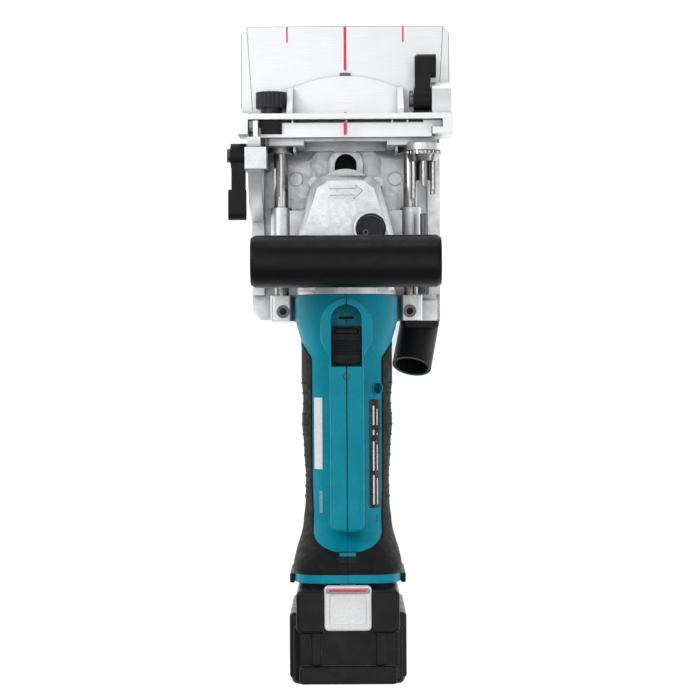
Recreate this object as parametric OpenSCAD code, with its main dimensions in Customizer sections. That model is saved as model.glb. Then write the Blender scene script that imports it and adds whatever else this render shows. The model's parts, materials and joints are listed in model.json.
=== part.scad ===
// Cordless biscuit (plate) joiner. +X is right, +Y is forward, +Z is up.
// The origin is on the underside of the base, straight below the blade's axis at rest.

/* [Blade] */
// Diameter of the grooving blade
blade_d = 100; // [98:0.5:100]
// Height of the blade's middle plane above the base's underside
blade_z = 10; // [10:0.1:10.2]
// Deepest groove that the blade cuts in front of the base
max_depth = 20; // [16:0.5:20]
// How far the resting blade stays behind the front face
blade_rest_gap = 1.5; // [1:0.1:2]

/* [Base] */
// Half width of the base
base_half_w = 60.5; // [60:0.1:61]
// Rear edge of the base
base_back_y = -73; // [-74:0.5:-72]
// Height of the base's deck
deck_z = 22; // [22:0.1:22.4]
// Top of the base's front wall
wall_top_z = 64; // [60:0.5:64]

/* [Guide rods] */
// Distance of each guide rod from the middle
rod_x = 41; // [41:0.1:41.2]
// Height of the guide rods
rod_z = 42; // [42:0.1:42.2]
// Diameter of the guide rods
rod_d = 9; // [8:0.1:9]

/* [Angle guide and fence] */
// Distance from the guide's hinge axis up to its top edge
guide_h = 47; // [46:0.5:48]
// Half width of the angle guide
guide_half_w = 60; // [59.8:0.1:60]
// Height of the fence's underside at rest
fence_z = 30; // [30:0.5:31]
// Front edge of the fence
fence_front_y = 115.5; // [110:0.5:118]

/* [Motor and grip] */
// Height of the motor's axis
motor_z = 56; // [56:0.1:56.1]
// Diameter of the housing over the fan
fan_case_d = 64; // [63:0.5:64]
// Diameter of the grip
grip_d = 56.8; // [56:0.1:57]

/* [Battery] */
// Width of the battery round its cells
battery_w = 71; // [70:0.5:72]
// Width of the battery's front and top
battery_neck_w = 62.6; // [62:0.2:64]
// Height of the battery
battery_h = 112; // [110:1:114]
// Rear face of the battery
battery_back_y = -294; // [-296:1:-292]

/* [Hidden] */
$fn = 64;

fit = 0.02;          // radial gap round a pin that stays put
run = 0.03;          // radial gap round a shaft that turns or slides
gap = 0.3;           // gap between pieces that move past each other

// Blade chamber and front
front_y = blade_d / 2 + blade_rest_gap;      // flush front of base and guide
plunge = max_depth + blade_rest_gap;         // travel of the power unit
blade_t = 4;                                 // groove width
chamber_r = blade_d / 2 + 2;
chamber_z = [3, 14, 18];                     // underside, roof over the blade, roof over its flange
low_deck_z = 17.5;
cover_t = 3;
cover_half_w = 54;
cover_pin = [42.5, 3];                       // y, z of the cover's hinge
cover_screw_at = [-50, -45];
slot_half_w = 7;
slot_front_y = 34.5;
nose_window = 26;                            // half width of the front wall's window

// Hinge of the angle guide (y, z): tilted by 90 degrees its face lies one blade height above
guide_pin = [48.5, 23];
guide_top_z = guide_pin[1] + guide_h;
fence_wall_y = [front_y + gap, 55.4];
wall_y = [36.5, 42.3];

spring_z = 31;
nozzle_at = [46.7, 20];                      // x, z
nozzle_screw_x = [37.6, 55.8];
nozzle_screw_z = 9.5;

// Depth stop
turret_at = [48.7, 60];                      // x, z
stop_pitch_r = 7;
adjuster_z = turret_at[1] - stop_pitch_r;
adjuster_end_y = -5.8;
turret_back_y = 26.3;
depths = [0, 12, 7, 5.3, 7.7, 10];           // how much each stop shortens the travel
stop_end_y = adjuster_end_y + plunge + 0.2;  // end of the stop for the deepest groove

// Angle clamp on the left
clamp_at = [31.4, 52];                       // y, z
sector_r = [40, 57];

// Height adjustment of the fence
knob_at = [-46.7, 48];                       // x, z
rack_pitch = 2.513;
pinion_pitch_r = 4;

// Fence lock on the right
lock_at = [67, 48];                          // y, z

// Gearing: a straight pinion over a crown ring gear
pinion_teeth = 8;
ring_teeth = 24;
pinion_r = 4.5;
mesh_z = motor_z - pinion_r;

// Battery
battery_front_y = -236;
split_y = -265;
shoulder = [-250.5, 101];                    // y and z where the battery narrows
cell_d = 18;
cell_rows_y = [-279.6, -260.8];

// ---- Shared shapes ----

module block(x, y, z)
    translate([x[0], y[0], z[0]]) cube([x[1] - x[0], y[1] - y[0], z[1] - z[0]]);

module rod_along_x(y, z, d, x)
    translate([x[0], y, z]) rotate([0, 90, 0]) cylinder(d = d, h = x[1] - x[0]);
module rod_along_y(x, z, d, y)
    translate([x, y[0], z]) rotate([-90, 0, 0]) cylinder(d = d, h = y[1] - y[0]);
module rod_along_z(x, y, d, z) translate([x, y, z[0]]) cylinder(d = d, h = z[1] - z[0]);

// A drawing in the y-z plane, given thickness along x
module plate_along_x(x)
    translate([x[0], 0, 0]) rotate([90, 0, 90]) linear_extrude(x[1] - x[0]) children();
// A drawing in the x-z plane, given thickness along y
module plate_along_y(y)
    translate([0, y[1], 0]) rotate([90, 0, 0]) linear_extrude(y[1] - y[0]) children();

module round_rect(x, y, r) {
    translate([x[0] + r, y[0]]) square([x[1] - x[0] - 2 * r, y[1] - y[0]]);
    translate([x[0], y[0] + r]) square([x[1] - x[0], y[1] - y[0] - 2 * r]);
    for (cx = [x[0] + r, x[1] - r], cy = [y[0] + r, y[1] - r]) translate([cx, cy]) circle(r);
}

module both_sides() {
    children();
    mirror([1, 0, 0]) children();
}

module pie(r, from, to)
    polygon(concat([[0, 0]], [for (a = [from : (to - from) / 8 : to + 0.01]) 1.3 * r * [cos(a), sin(a)]]));

module arc_band(r_in, r_out, from, to)
    intersection() {
        difference() {
            circle(r_out);
            circle(r_in);
        }
        pie(r_out, from, to);
    }

// Socket head screw along -Z from the given top
module socket_screw(x, y, z_top, z_bottom, d, head_d, head_h)
    difference() {
        union() {
            rod_along_z(x, y, head_d, [z_top - head_h, z_top]);
            rod_along_z(x, y, d, [z_bottom, z_top - head_h + 0.1]);
        }
        translate([x, y, z_top - head_h * 0.6]) cylinder(d = head_d * 0.55, h = head_h, $fn = 6);
    }

// Ring of tapered teeth round a circle
module gear_teeth(n, r_root, r_tip, w_root, w_tip)
    for (i = [0 : n - 1])
        rotate(i * 360 / n)
            polygon([[r_root - 0.6, -w_root / 2], [r_tip, -w_tip / 2],
                     [r_tip, w_tip / 2], [r_root - 0.6, w_root / 2]]);

// Knurled outline
module knurl(r, n, depth)
    difference() {
        circle(r);
        for (i = [0 : n - 1]) rotate(i * 360 / n) translate([r + depth * 0.4, 0]) circle(depth, $fn = 16);
    }

// ---- Base ----

module spindle_slot(half_w, y_back, y_front) {
    translate([-half_w, y_back]) square([2 * half_w, y_front - half_w - y_back]);
    translate([0, y_front - half_w]) circle(half_w);
}

module base_outline()
    polygon([[-base_half_w + 5, base_back_y + 1.5], [-48, base_back_y + 1.5], [-48, base_back_y],
             [base_half_w, base_back_y], [base_half_w, front_y], [-base_half_w, front_y],
             [-base_half_w, base_back_y + 6.5]]);

module blade_chamber() {
    for (level = [[chamber_r, chamber_z[0], chamber_z[1]], [18.4, chamber_z[1] - 1, chamber_z[2]]])
        translate([0, 0, level[1]]) linear_extrude(level[2] - level[1])
            intersection() {
                union() {
                    circle(level[0]);
                    translate([0, plunge]) circle(level[0]);
                    translate([-level[0], 0]) square([2 * level[0], plunge]);
                }
                translate([-60, -60]) square([120, 60 + cover_pin[0] + 2.5]);
            }
    block([-45.5, 45.5], [40, front_y + 1], [blade_z - 3, blade_z + 3]);
}

module cover_recess()
    block([-cover_half_w - gap, cover_half_w + gap], [-56, cover_pin[0] + 3.3], [-1, cover_t + 0.2]);

module base_casting() {
    color("silver") difference() {
        union() {
            linear_extrude(low_deck_z) base_outline();
            block([-base_half_w, base_half_w], [wall_y[0], front_y], [10, 19.6]);
            // raised middle of the deck over the blade's flange, with sloping flanks
            plate_along_y([-56, wall_y[1]])
                polygon([[-23, 10], [23, 10], [23, low_deck_z],
                         [18, deck_z], [-18, deck_z], [-23, low_deck_z]]);
            // slope up to the front wall and raised rear end
            plate_along_x([-52, 57])
                polygon([[31, 10], [wall_y[1], 10], [wall_y[1], deck_z],
                         [wall_y[0], deck_z], [31, low_deck_z]]);
            block([-48, 58], [base_back_y, -56], [10, deck_z]);
            // raised edges along both sides
            both_sides() block([52.5, base_half_w], [-56, wall_y[1]], [10, deck_z]);
            // front wall with its rod bosses, turret boss and ribs
            plate_along_y(wall_y) round_rect([-50, 57], [deck_z - 4, wall_top_z], 3);
            both_sides() {
                rod_along_y(rod_x, rod_z, 16, [33, wall_y[0] + 1]);
                block([31.4, 32.8], [33, wall_y[0] + 1], [deck_z, 58]);
                rod_along_z(32, 19, 8.4, [low_deck_z - 1, low_deck_z + 0.8]);
                // ears of the angle guide's hinge
                plate_along_x([46, 52]) {
                    translate(guide_pin) circle(2.9);
                    translate([guide_pin[0] - 2.9, 15]) square([5.8, 4.6]);
                    translate([guide_pin[0] - 2.9, 15]) square([3.2, guide_pin[1] - 15]);
                }
            }
            rod_along_y(turret_at[0], turret_at[1], 22, [33, wall_y[0] + 1]);
            // rim round the spindle's slot
            translate([0, 0, deck_z - 1]) linear_extrude(4) spindle_slot(11.2, -16, 39);
            // rear lugs that hold the rods
            both_sides() plate_along_y([base_back_y, -57]) round_rect([33.5, 48], [deck_z - 4, 50], 3);
            // duct towards the dust nozzle
            block([35, 58], [base_back_y, -60], [deck_z - 2, 35]);
            // post of the angle clamp
            plate_along_x([-52, -49]) {
                translate(clamp_at) circle(7);
                translate([clamp_at[0] - 7, 12]) square([14, clamp_at[1] - 12]);
            }
        }
        blade_chamber();
        cover_recess();
        rod_along_x(cover_pin[0], cover_pin[1], 6.6, [-cover_half_w - gap, cover_half_w + gap]);
        // window that the gear housing's nose enters, under a thin top bar
        block([-nose_window, nose_window], [wall_y[0] - 1, wall_y[1] + 1], [deck_z + 1.5, 57]);
        block([-nose_window, nose_window], [wall_y[0] - 1, wall_y[0] + 2.5], [50, wall_top_z + 1]);
        translate([0, 0, 17]) linear_extrude(10) spindle_slot(slot_half_w, -9, slot_front_y);
        both_sides() {
            rod_along_y(rod_x, rod_z, rod_d + 2 * fit, [base_back_y + 2, wall_y[1] - 2]);
            rod_along_z(40, -67, 6 + 2 * fit, [rod_z, 52]);
            rod_along_y(rod_x, spring_z, 3 + 2 * fit, [34, wall_y[1] - 2]);
            rod_along_y(rod_x, spring_z, 7.8, [30, wall_y[0]]);
            rod_along_x(guide_pin[0], guide_pin[1], 3 + 2 * fit, [45, 53]);
        }
        rod_along_y(turret_at[0], turret_at[1], 5 + 2 * fit, [30, wall_y[1] + 1]);
        rod_along_x(cover_pin[0], cover_pin[1], 3 + 2 * fit, [-58, 58]);
        rod_along_x(clamp_at[0], clamp_at[1], 5 + 2 * fit, [-53, -48]);
        translate([0, 0, -1]) rod_along_z(cover_screw_at[0], cover_screw_at[1], 5.4, [0, 30]);
        // dust way from the chamber to the nozzle
        block([38, 52], [-63, -20], [chamber_z[0], chamber_z[1]]);
        rod_along_y(nozzle_at[0], nozzle_at[1], 18, [base_back_y - 1, -60]);
        for (x = nozzle_screw_x) rod_along_y(x, nozzle_screw_z, 2.5 + 2 * fit, [base_back_y - 1, -66]);
    }
}

module cover_hinge_pin() { color("dimgray") rod_along_x(cover_pin[0], cover_pin[1], 3, [-57.8, 57.8]); }

module guide_rods() {
    color("gainsboro") both_sides() rod_along_y(rod_x, rod_z, rod_d, [base_back_y + 2.2, wall_y[1] - 2.2]);
}

module rod_screws() {
    color("dimgray") both_sides() difference() {
        rod_along_z(40, -67, 6, [rod_z + rod_d / 2 + 0.1, 50.2]);
        translate([40, -67, 47.6]) cylinder(d = 3.4, h = 5, $fn = 6);
    }
}

module spring_guide_pins() {
    color("silver") both_sides() rod_along_y(rod_x, spring_z, 3, [20.5, wall_y[1] - 2.2]);
}

// Helical wire along +Y from y0 to y1, as rings of points joined into one skin
module coil(x, z, coil_r, wire_r, y0, y1, turns) {
    sides = 6;
    steps = turns * 12;
    ring = [for (i = [0 : steps], k = [0 : sides - 1])
        let (a = i * 30, b = k * 360 / sides, r = coil_r + wire_r * cos(b))
        [x + r * cos(a), y0 + (y1 - y0) * i / steps + wire_r * sin(b), z + r * sin(a)]];
    skin = [for (i = [0 : steps - 1], k = [0 : sides - 1])
        [i * sides + k, i * sides + (k + 1) % sides,
         (i + 1) * sides + (k + 1) % sides, (i + 1) * sides + k]];
    first = [for (k = [sides - 1 : -1 : 0]) k];
    last = [for (k = [0 : sides - 1]) steps * sides + k];
    polyhedron(ring, concat([first, last], skin));
}

module return_springs() {
    color("silver") both_sides() coil(rod_x, spring_z, 2.9, 0.45, -3, 35.7, 11);
}

module turret_screw() {
    color("dimgray") difference() {
        union() {
            rod_along_y(turret_at[0], turret_at[1], 5, [24, wall_y[1]]);
            rod_along_y(turret_at[0], turret_at[1], 9, [14.6, turret_back_y - gap]);
        }
        translate([turret_at[0], 14, turret_at[1]]) rotate([-90, 0, 0]) cylinder(d = 4.6, h = 4, $fn = 6);
    }
}

// The nozzle leaves the base's rear face and rises to the rear
module nozzle_frame()
    translate([nozzle_at[0], base_back_y - 3, nozzle_at[1]])
        rotate([0, 0, -11.5]) rotate([62.5, 0, 0]) children();

module dust_nozzle() {
    color("#262427") difference() {
        union() {
            plate_along_y([base_back_y - 4, base_back_y]) round_rect([34.5, 59], [6, 35], 4);
            intersection() {
                nozzle_frame() translate([0, 0, -12]) cylinder(d = 25, h = 42);
                translate([0, -130, 0.5]) cube([100, 130 + base_back_y - 0.1, 80]);
            }
        }
        nozzle_frame() translate([0, 0, 10]) cylinder(d = 21, h = 50);
        nozzle_frame() translate([0, 0, -4]) cylinder(d = 18, h = 20);
        rod_along_y(nozzle_at[0], nozzle_at[1], 17.9, [base_back_y - 5, base_back_y + 1]);
        for (x = nozzle_screw_x) {
            rod_along_y(x, nozzle_screw_z, 2.5 + 2 * fit, [base_back_y - 5, base_back_y + 1]);
            rod_along_y(x, nozzle_screw_z, 4.4 + 2 * fit, [base_back_y - 12, base_back_y - 2.4]);
        }
    }
}

module nozzle_screws() {
    color("dimgray") for (x = nozzle_screw_x) {
        rod_along_y(x, nozzle_screw_z, 2.5, [base_back_y - 3, -66.5]);
        rod_along_y(x, nozzle_screw_z, 4.4, [base_back_y - 4, base_back_y - 2.4]);
    }
}

module guide_hinge_pins() {
    color("gainsboro") both_sides() rod_along_x(guide_pin[0], guide_pin[1], 3, [42.5, 57]);
}

module angle_clamp_block() {
    color("silver") difference() {
        union() {
            plate_along_x([-62.2, -61.1]) {
                translate(clamp_at) circle(8);
                translate([20.5, clamp_at[1]]) square([13, 82 - clamp_at[1]]);
            }
            block([-62.2, -48.8], [20.7, 34], [79.4, 82.4]);
            rod_along_x(clamp_at[0], clamp_at[1], 10, [-61.4, -52]);
        }
        rod_along_x(clamp_at[0], clamp_at[1], 5 + 2 * fit, [-70, -48]);
    }
}

module angle_clamp_bolt() {
    color("dimgray") {
        rod_along_x(clamp_at[0], clamp_at[1], 5, [-72.6, -48]);
        rod_along_x(clamp_at[0], clamp_at[1], 9, [-74.6, -72.6]);
    }
}

// ---- Blade cover ----

module blade_cover() {
    color("silver") difference() {
        union() {
            block([-cover_half_w, cover_half_w], [-55.6, cover_pin[0]], [0, cover_t]);
            both_sides() rod_along_x(cover_pin[0], cover_pin[1], 5.8, [30, cover_half_w]);
        }
        rod_along_x(cover_pin[0], cover_pin[1], 3 + 2 * run, [-60, 60]);
        block([-29.7, 29.7], [cover_pin[0] - 2, cover_pin[0] + 4], [-1, 5]);
        rod_along_z(cover_screw_at[0], cover_screw_at[1], 5.4, [-1, 5]);
    }
}

module cover_screw() {
    color("dimgray") {
        rod_along_z(cover_screw_at[0], cover_screw_at[1], 5, [0.4, deck_z + 1]);
        translate([cover_screw_at[0], cover_screw_at[1], deck_z + 0.4]) linear_extrude(7) knurl(6, 12, 0.9);
    }
}

// ---- Depth stop turret: six stops of different length round its rim ----

module depth_turret() {
    color("#262427") translate([turret_at[0], 0, turret_at[1]]) difference() {
        union() {
            translate([0, 32.6, 0]) rotate([90, 0, 0]) linear_extrude(2.2) knurl(11.2, 24, 0.8);
            translate([0, 30.5, 0]) rotate([90, 0, 0])
                cylinder(d1 = 21, d2 = 17.7, h = 30.5 - turret_back_y);
            for (i = [0 : 5]) rotate([0, 60 * i, 0])
                rod_along_y(0, -stop_pitch_r, 3.6, [stop_end_y - depths[i], turret_back_y + 1]);
        }
        rod_along_y(0, 0, 5 + 2 * run, [20, 40]);
    }
}

// ---- Angle guide: tilts forward about its lower edge ----

module angle_guide() {
    plate_y = [47, front_y];
    color("silver") difference() {
        union() {
            block([-guide_half_w, guide_half_w], plate_y, [guide_pin[1], guide_top_z]);
            block([-53.7, 53.7], [41, plate_y[1]], [guide_top_z - 4, guide_top_z]);
            for (x = [[-guide_half_w, -52.4], [-45.6, 45.6], [52.4, guide_half_w]])
                rod_along_x(guide_pin[0], guide_pin[1], 6, x);
            // scale sector on the left: a web and a broad rim
            plate_along_x([-57, -54]) translate(guide_pin) arc_band(sector_r[0], sector_r[1], 88, 178);
            plate_along_x([-60.8, -52.5]) translate(guide_pin)
                arc_band(sector_r[1] - 2.5, sector_r[1], 98, 178);
        }
        // notches round the base's ears
        both_sides() rod_along_x(guide_pin[0], guide_pin[1], 7, [45.6, 52.4]);
        both_sides() rod_along_x(guide_pin[0], guide_pin[1], 3 + 2 * run, [42, 61]);
        // hollows along the top edge, with webs between them
        for (x = [[-40, -33.5], [-32.3, 0], [1.2, 28.5], [29.7, 38], [39.2, 48.4]])
            block(x, [49.9, plate_y[1] + 1], [guide_top_z - 8, guide_top_z + 1]);
        // slot for the rack and its pinion
        block([-54, -41.8], [plate_y[0] - 0.02, plate_y[1] + 1], [33, guide_top_z + 1]);
    }
}

module height_rack() {
    tooth_x = knob_at[0] - pinion_pitch_r;
    color("#262427") {
        block([-54, tooth_x - 1], [47, 51.4], [33, guide_top_z]);
        for (i = [-6 : 6])
            plate_along_y([47, 51.4]) translate([tooth_x - 1.2, knob_at[1] + (i + 0.5) * rack_pitch])
                polygon([[0, -0.65], [1.8, -0.3], [1.8, 0.3], [0, 0.65]]);
        block([-54, -42], [47, 51.4], [68.2, guide_top_z + 1]);
        block([-52.5, -39.5], [43, 51.4], [guide_top_z, guide_top_z + 1.2]);
    }
}

// A lever in the y-z plane: round hub, arm and rounded grip, with a bore for its pin
module lever(at, hub_d, end, end_d, x, grip_x, bore) {
    difference() {
        union() {
            rod_along_x(at[0], at[1], hub_d, x);
            plate_along_x([x[0] + 0.5, x[1] - 0.5]) hull() {
                translate(at) circle(d = hub_d * 0.75, $fn = 32);
                translate(end) circle(d = end_d * 0.8, $fn = 32);
            }
            plate_along_x(grip_x) hull() {
                translate(end) circle(d = end_d, $fn = 32);
                translate(end + 0.28 * (at - end)) circle(d = end_d * 0.9, $fn = 32);
            }
        }
        rod_along_x(at[0], at[1], bore, [x[0] - 1, x[1] + 1]);
    }
}

module angle_lock_lever() {
    color("#262427") lever(clamp_at, 15.4, [-4.5, 54], 10, [-72.3, -62.6], [-73.9, -62.6], 5 + 2 * run);
}

// ---- Fence ----

module fence_plate_outline()
    polygon([[-66.8, fence_wall_y[0] + 1], [66.8, fence_wall_y[0] + 1],
             [66.8, fence_front_y - 4], [62.8, fence_front_y],
             [-62.8, fence_front_y], [-66.8, fence_front_y - 4]]);

module fence_side() {
    plate_along_x([guide_half_w + 0.4, 66.8])
        polygon([[46, fence_z], [60, fence_z], [60, 38], [55.4, 75], [42.6, 75], [42.6, 36]]);
}

module fence() {
    wall = fence_wall_y;
    color("silver") difference() {
        union() {
            translate([0, 0, fence_z]) linear_extrude(4) fence_plate_outline();
            block([-66, 66], wall, [fence_z, 75]);
            both_sides() fence_side();
            // lips that hook behind the guide's edges
            block([54, 66], [42.6, 46.7], [fence_z + 6.5, 75]);
            block([-66, -54], [42.6, 46.7], [fence_z + 6.5, 44.5]);
            // hollow fillet between wall and plate
            plate_along_x([-60, 60]) difference() {
                translate([55, fence_z + 3.5]) square([7, 6.5]);
                translate([62, fence_z + 10]) circle(6);
            }
            // raised pad with an arched front
            translate([0, 0, fence_z + 3]) linear_extrude(2.2) intersection() {
                translate([0, 5.4]) circle(78, $fn = 128);
                translate([-35, 55]) square([70, 40]);
            }
            both_sides() plate_along_x([33.2, 36.8])
                polygon([[55, fence_z + 3], [76, fence_z + 3], [76, fence_z + 6], [60, 60], [55, 60]]);
            // bracket of the lock pin
            plate_along_x([54.5, 66.8])
                polygon([[55, fence_z + 3], [77, fence_z + 3], [77, 52], [72, 57], [55, 57]]);
        }
        rod_along_y(knob_at[0], knob_at[1], 6 + 2 * run, [wall[0] - 1, wall[1] + 1]);
        rod_along_x(lock_at[0], lock_at[1], 6 + 2 * fit, [50, 63]);
        block([42.7, 52.3], [wall[0] - 1, wall[1] + 1], [43.7, 52.3]);
        block([42, 54.5], [wall[1], 74.4], [fence_z + 4, 56]);
    }
}

module fence_lock_pin() {
    color("gainsboro") {
        rod_along_x(lock_at[0], lock_at[1], 6, [42.5, 62.5]);
        rod_along_x(lock_at[0], lock_at[1], 10.6, [40.4, 43]);
    }
}

module fence_lock_shoe() { color("#262427") block([43, 52], [front_y + 0.1, 59.6], [44, 52]); }

module fence_lock_lever() {
    color("#262427") lever(lock_at, 14, [90.5, 51], 8.6, [43.4, 54.2], [45, 57.3], 6 + 2 * run);
}

module height_knob() {
    color("#262427") difference() {
        union() {
            translate([knob_at[0], 71.4, knob_at[1]]) rotate([90, 0, 0])
                linear_extrude(10) knurl(9.85, 20, 0.9);
            rod_along_y(knob_at[0], knob_at[1], 13.5, [56 + gap, 62]);
        }
        rod_along_y(knob_at[0], knob_at[1], 6 + 2 * fit, [55, 66]);
    }
}

module height_pinion() {
    color("gainsboro") {
        rod_along_y(knob_at[0], knob_at[1], 6, [51.4, 65.9]);
        translate([knob_at[0], 51.45, knob_at[1]]) rotate([90, 0, 0]) linear_extrude(4.2) {
            circle(3.1);
            gear_teeth(10, 3.1, 4.6, 1.2, 0.5);
        }
    }
}

// ---- Power unit: gear housing ----

module housing_outline(inset)
    polygon([[-14 + inset, 16.5 - inset], [14 - inset, 16.5 - inset], [21 - inset, 12 - inset],
             [29.6 - inset, -20], [29.6 - inset, -54.5], [-29.6 + inset, -54.5], [-29.6 + inset, -20],
             [-21 + inset, 12 - inset]]);

box_screw_at = [for (sx = [-1, 1], sy = [-1, 1]) [19.9 * sx, 13.9 * sy]];

module box_outline() {
    circle(22.5);
    for (p = box_screw_at) translate(p) circle(3.6);
}

lock_button_at = [15.4, -17];
lock_angle = atan2(lock_button_at[1], lock_button_at[0]);
lock_r = 17.4;
lock_pin_at = lock_r * [cos(lock_angle), sin(lock_angle)];

module rod_sleeve() {
    rod_along_y(rod_x, rod_z, 13.4, [-45, -1.3]);
    block([24, rod_x - 4], [-45, -3], [rod_z - 4, rod_z + 4]);
    // lug that the return spring pushes
    block([rod_x - 4.5, rod_x + 4.5], [-12, -4], [26.8, rod_z]);
}

module gear_housing() {
    color("silver") difference() {
        union() {
            translate([0, 0, 37]) linear_extrude(18) box_outline();
            translate([0, 0, 37]) linear_extrude(39) housing_outline(0);
            hull() {
                translate([0, 0, 75.9]) linear_extrude(0.1) housing_outline(0);
                translate([0, 0, 79.9]) linear_extrude(0.1) housing_outline(3.5);
            }
            intersection() {
                rod_along_y(0, motor_z, fan_case_d - 2, [-57, -53]);
                block([-40, 40], [-60, -50], [26.5, 100]);
            }
            both_sides() rod_sleeve();
            // boss of the depth adjusting screw
            block([44.5, 52.5], [-45, -30], [rod_z, adjuster_z + 5]);
        }
        rod_along_z(0, 0, 41.6, [36, 53]);
        rod_along_z(0, 0, 12 + 2 * fit, [52, 66]);
        rod_along_y(0, motor_z, 14, [-30, -6]);
        rod_along_y(0, motor_z, 22 + 2 * fit, [-58, -22]);
        both_sides() {
            rod_along_y(rod_x, rod_z, 11 + 2 * fit, [-46, 0]);
            for (y = [-43, -33]) rod_along_x(y, 68, 4 + 2 * fit, [20, 31]);
        }
        rod_along_y(turret_at[0], adjuster_z, 4 + 2 * run, [-46, -29]);
        for (p = box_screw_at) rod_along_z(p[0], p[1], 3 + 2 * fit, [36, 46]);
        // recess, guide hole and pin hole of the shaft lock
        rod_along_z(lock_button_at[0], lock_button_at[1], 16.6, [73.2, 81]);
        rod_along_z(lock_button_at[0], lock_button_at[1], 6 + 2 * run, [66, 74]);
        rod_along_z(lock_pin_at[0], lock_pin_at[1], 3.6 + 2 * run, [50, 74]);
    }
}

module bearing_box() {
    color("silver") difference() {
        translate([0, 0, 26.5]) linear_extrude(10.5) box_outline();
        rod_along_z(0, 0, 28 + 2 * fit, [28, 38]);
        rod_along_z(0, 0, 18, [26, 29]);
        for (p = box_screw_at) {
            rod_along_z(p[0], p[1], 3 + 2 * fit, [26, 38]);
            rod_along_z(p[0], p[1], 5.6, [26, 29.5]);
        }
    }
}

module box_screws() {
    color("dimgray") for (p = box_screw_at)
        mirror([0, 0, 1]) socket_screw(p[0], p[1], -26.6, -45, 3, 5.4, 2.9);
}

module slide_bushes() {
    color("goldenrod") both_sides() for (y = [-44.8, -9.5]) difference() {
        rod_along_y(rod_x, rod_z, 11, [y, y + 8]);
        rod_along_y(rod_x, rod_z, rod_d + 2 * run, [y - 1, y + 9]);
    }
}

handle_half_w = 57;

module front_handle() {
    color("#262427") difference() {
        union() {
            hull() for (dy = [-1.7, 1.7]) translate([0, dy, 0]) {
                rod_along_x(-38.3, 120, 28, [-54, 54], $fn = 32);
                rod_along_x(-38.3, 120, 25, [-handle_half_w, handle_half_w], $fn = 32);
            }
            both_sides() {
                hull() {
                    rod_along_x(-38.3, 112, 24, [46, handle_half_w - 0.6], $fn = 32);
                    block([48, handle_half_w - 2], [-48, -28.6], [72, 76]);
                }
                hull() {
                    block([46, handle_half_w - 2], [-48, -28.6], [66, 74]);
                    block([30.2, 33], [-48, -28.6], [61.5, 74]);
                }
            }
        }
        both_sides() for (y = [-43, -33]) {
            rod_along_x(y, 68, 4 + 2 * fit, [29, 60]);
            rod_along_x(y, 68, 7.6, [36, 60]);
        }
    }
}

module handle_screws() {
    color("dimgray") both_sides() for (y = [-43, -33]) difference() {
        union() {
            rod_along_x(y, 68, 4, [20.5, 36.1]);
            rod_along_x(y, 68, 7, [36.05, 39.5]);
        }
        translate([37.5, y, 68]) rotate([0, 90, 0]) cylinder(d = 3.6, h = 4, $fn = 6);
    }
}

// ---- Power unit: motor housing ----

grip_y = [-203, -92];
rear_wall_y = -233;
grip_skin = 2;                               // thickness of the rubber
housing_screw_at = [[-148, 38], [-148, 74], [-196, 38], [-196, 74]];

module flare(r, half_w, z, y)
    hull() {
        rod_along_y(0, motor_z, 2 * r, [grip_y[0] - 0.1, grip_y[0] + 0.1], $fn = 48);
        plate_along_y([y - 0.1, y + 0.1]) round_rect([-half_w, half_w], z, 9, $fn = 32);
    }

module housing_outer() {
    intersection() {
        union() {
            rod_along_y(0, motor_z, fan_case_d, [-73, -57.2]);
            translate([0, -73, motor_z]) rotate([90, 0, 0]) cylinder(d1 = fan_case_d, d2 = grip_d, h = 19);
        }
        block([-40, 40], [-100, -50], [26.5, 100]);
    }
    rod_along_y(0, motor_z, grip_d, grip_y);
    flare(grip_d / 2, 33, [8, 104], rear_wall_y + 0.1);
    // raised spine along the top
    plate_along_y([-205, -60]) round_rect([-10.8, 10.8], [70, 88], 2);
    // rails that carry the battery
    both_sides() {
        block([20, 24], [-239.8, rear_wall_y + 1], [25, 95]);
        block([20, 29], [-239.8, -237.2], [25, 95]);
    }
}

module housing_inner() {
    intersection() {
        rod_along_y(0, motor_z, fan_case_d - 6, [-73, -56]);
        block([-40, 40], [-100, -50], [29, 100]);
    }
    translate([0, -72.9, motor_z]) rotate([90, 0, 0]) cylinder(d1 = fan_case_d - 6, d2 = 48.4, h = 12);
    rod_along_y(0, motor_z, 48.4, [grip_y[0] - 0.1, -80]);
    flare(24.2, 30, [11, 101], rear_wall_y + 3);
}

module grip_band(d)
    difference() {
        rod_along_y(0, motor_z, d, [grip_y[0] + 2, grip_y[1] - 2]);
        block([-21, 21], [-250, -50], [0, 120]);
    }

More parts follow.
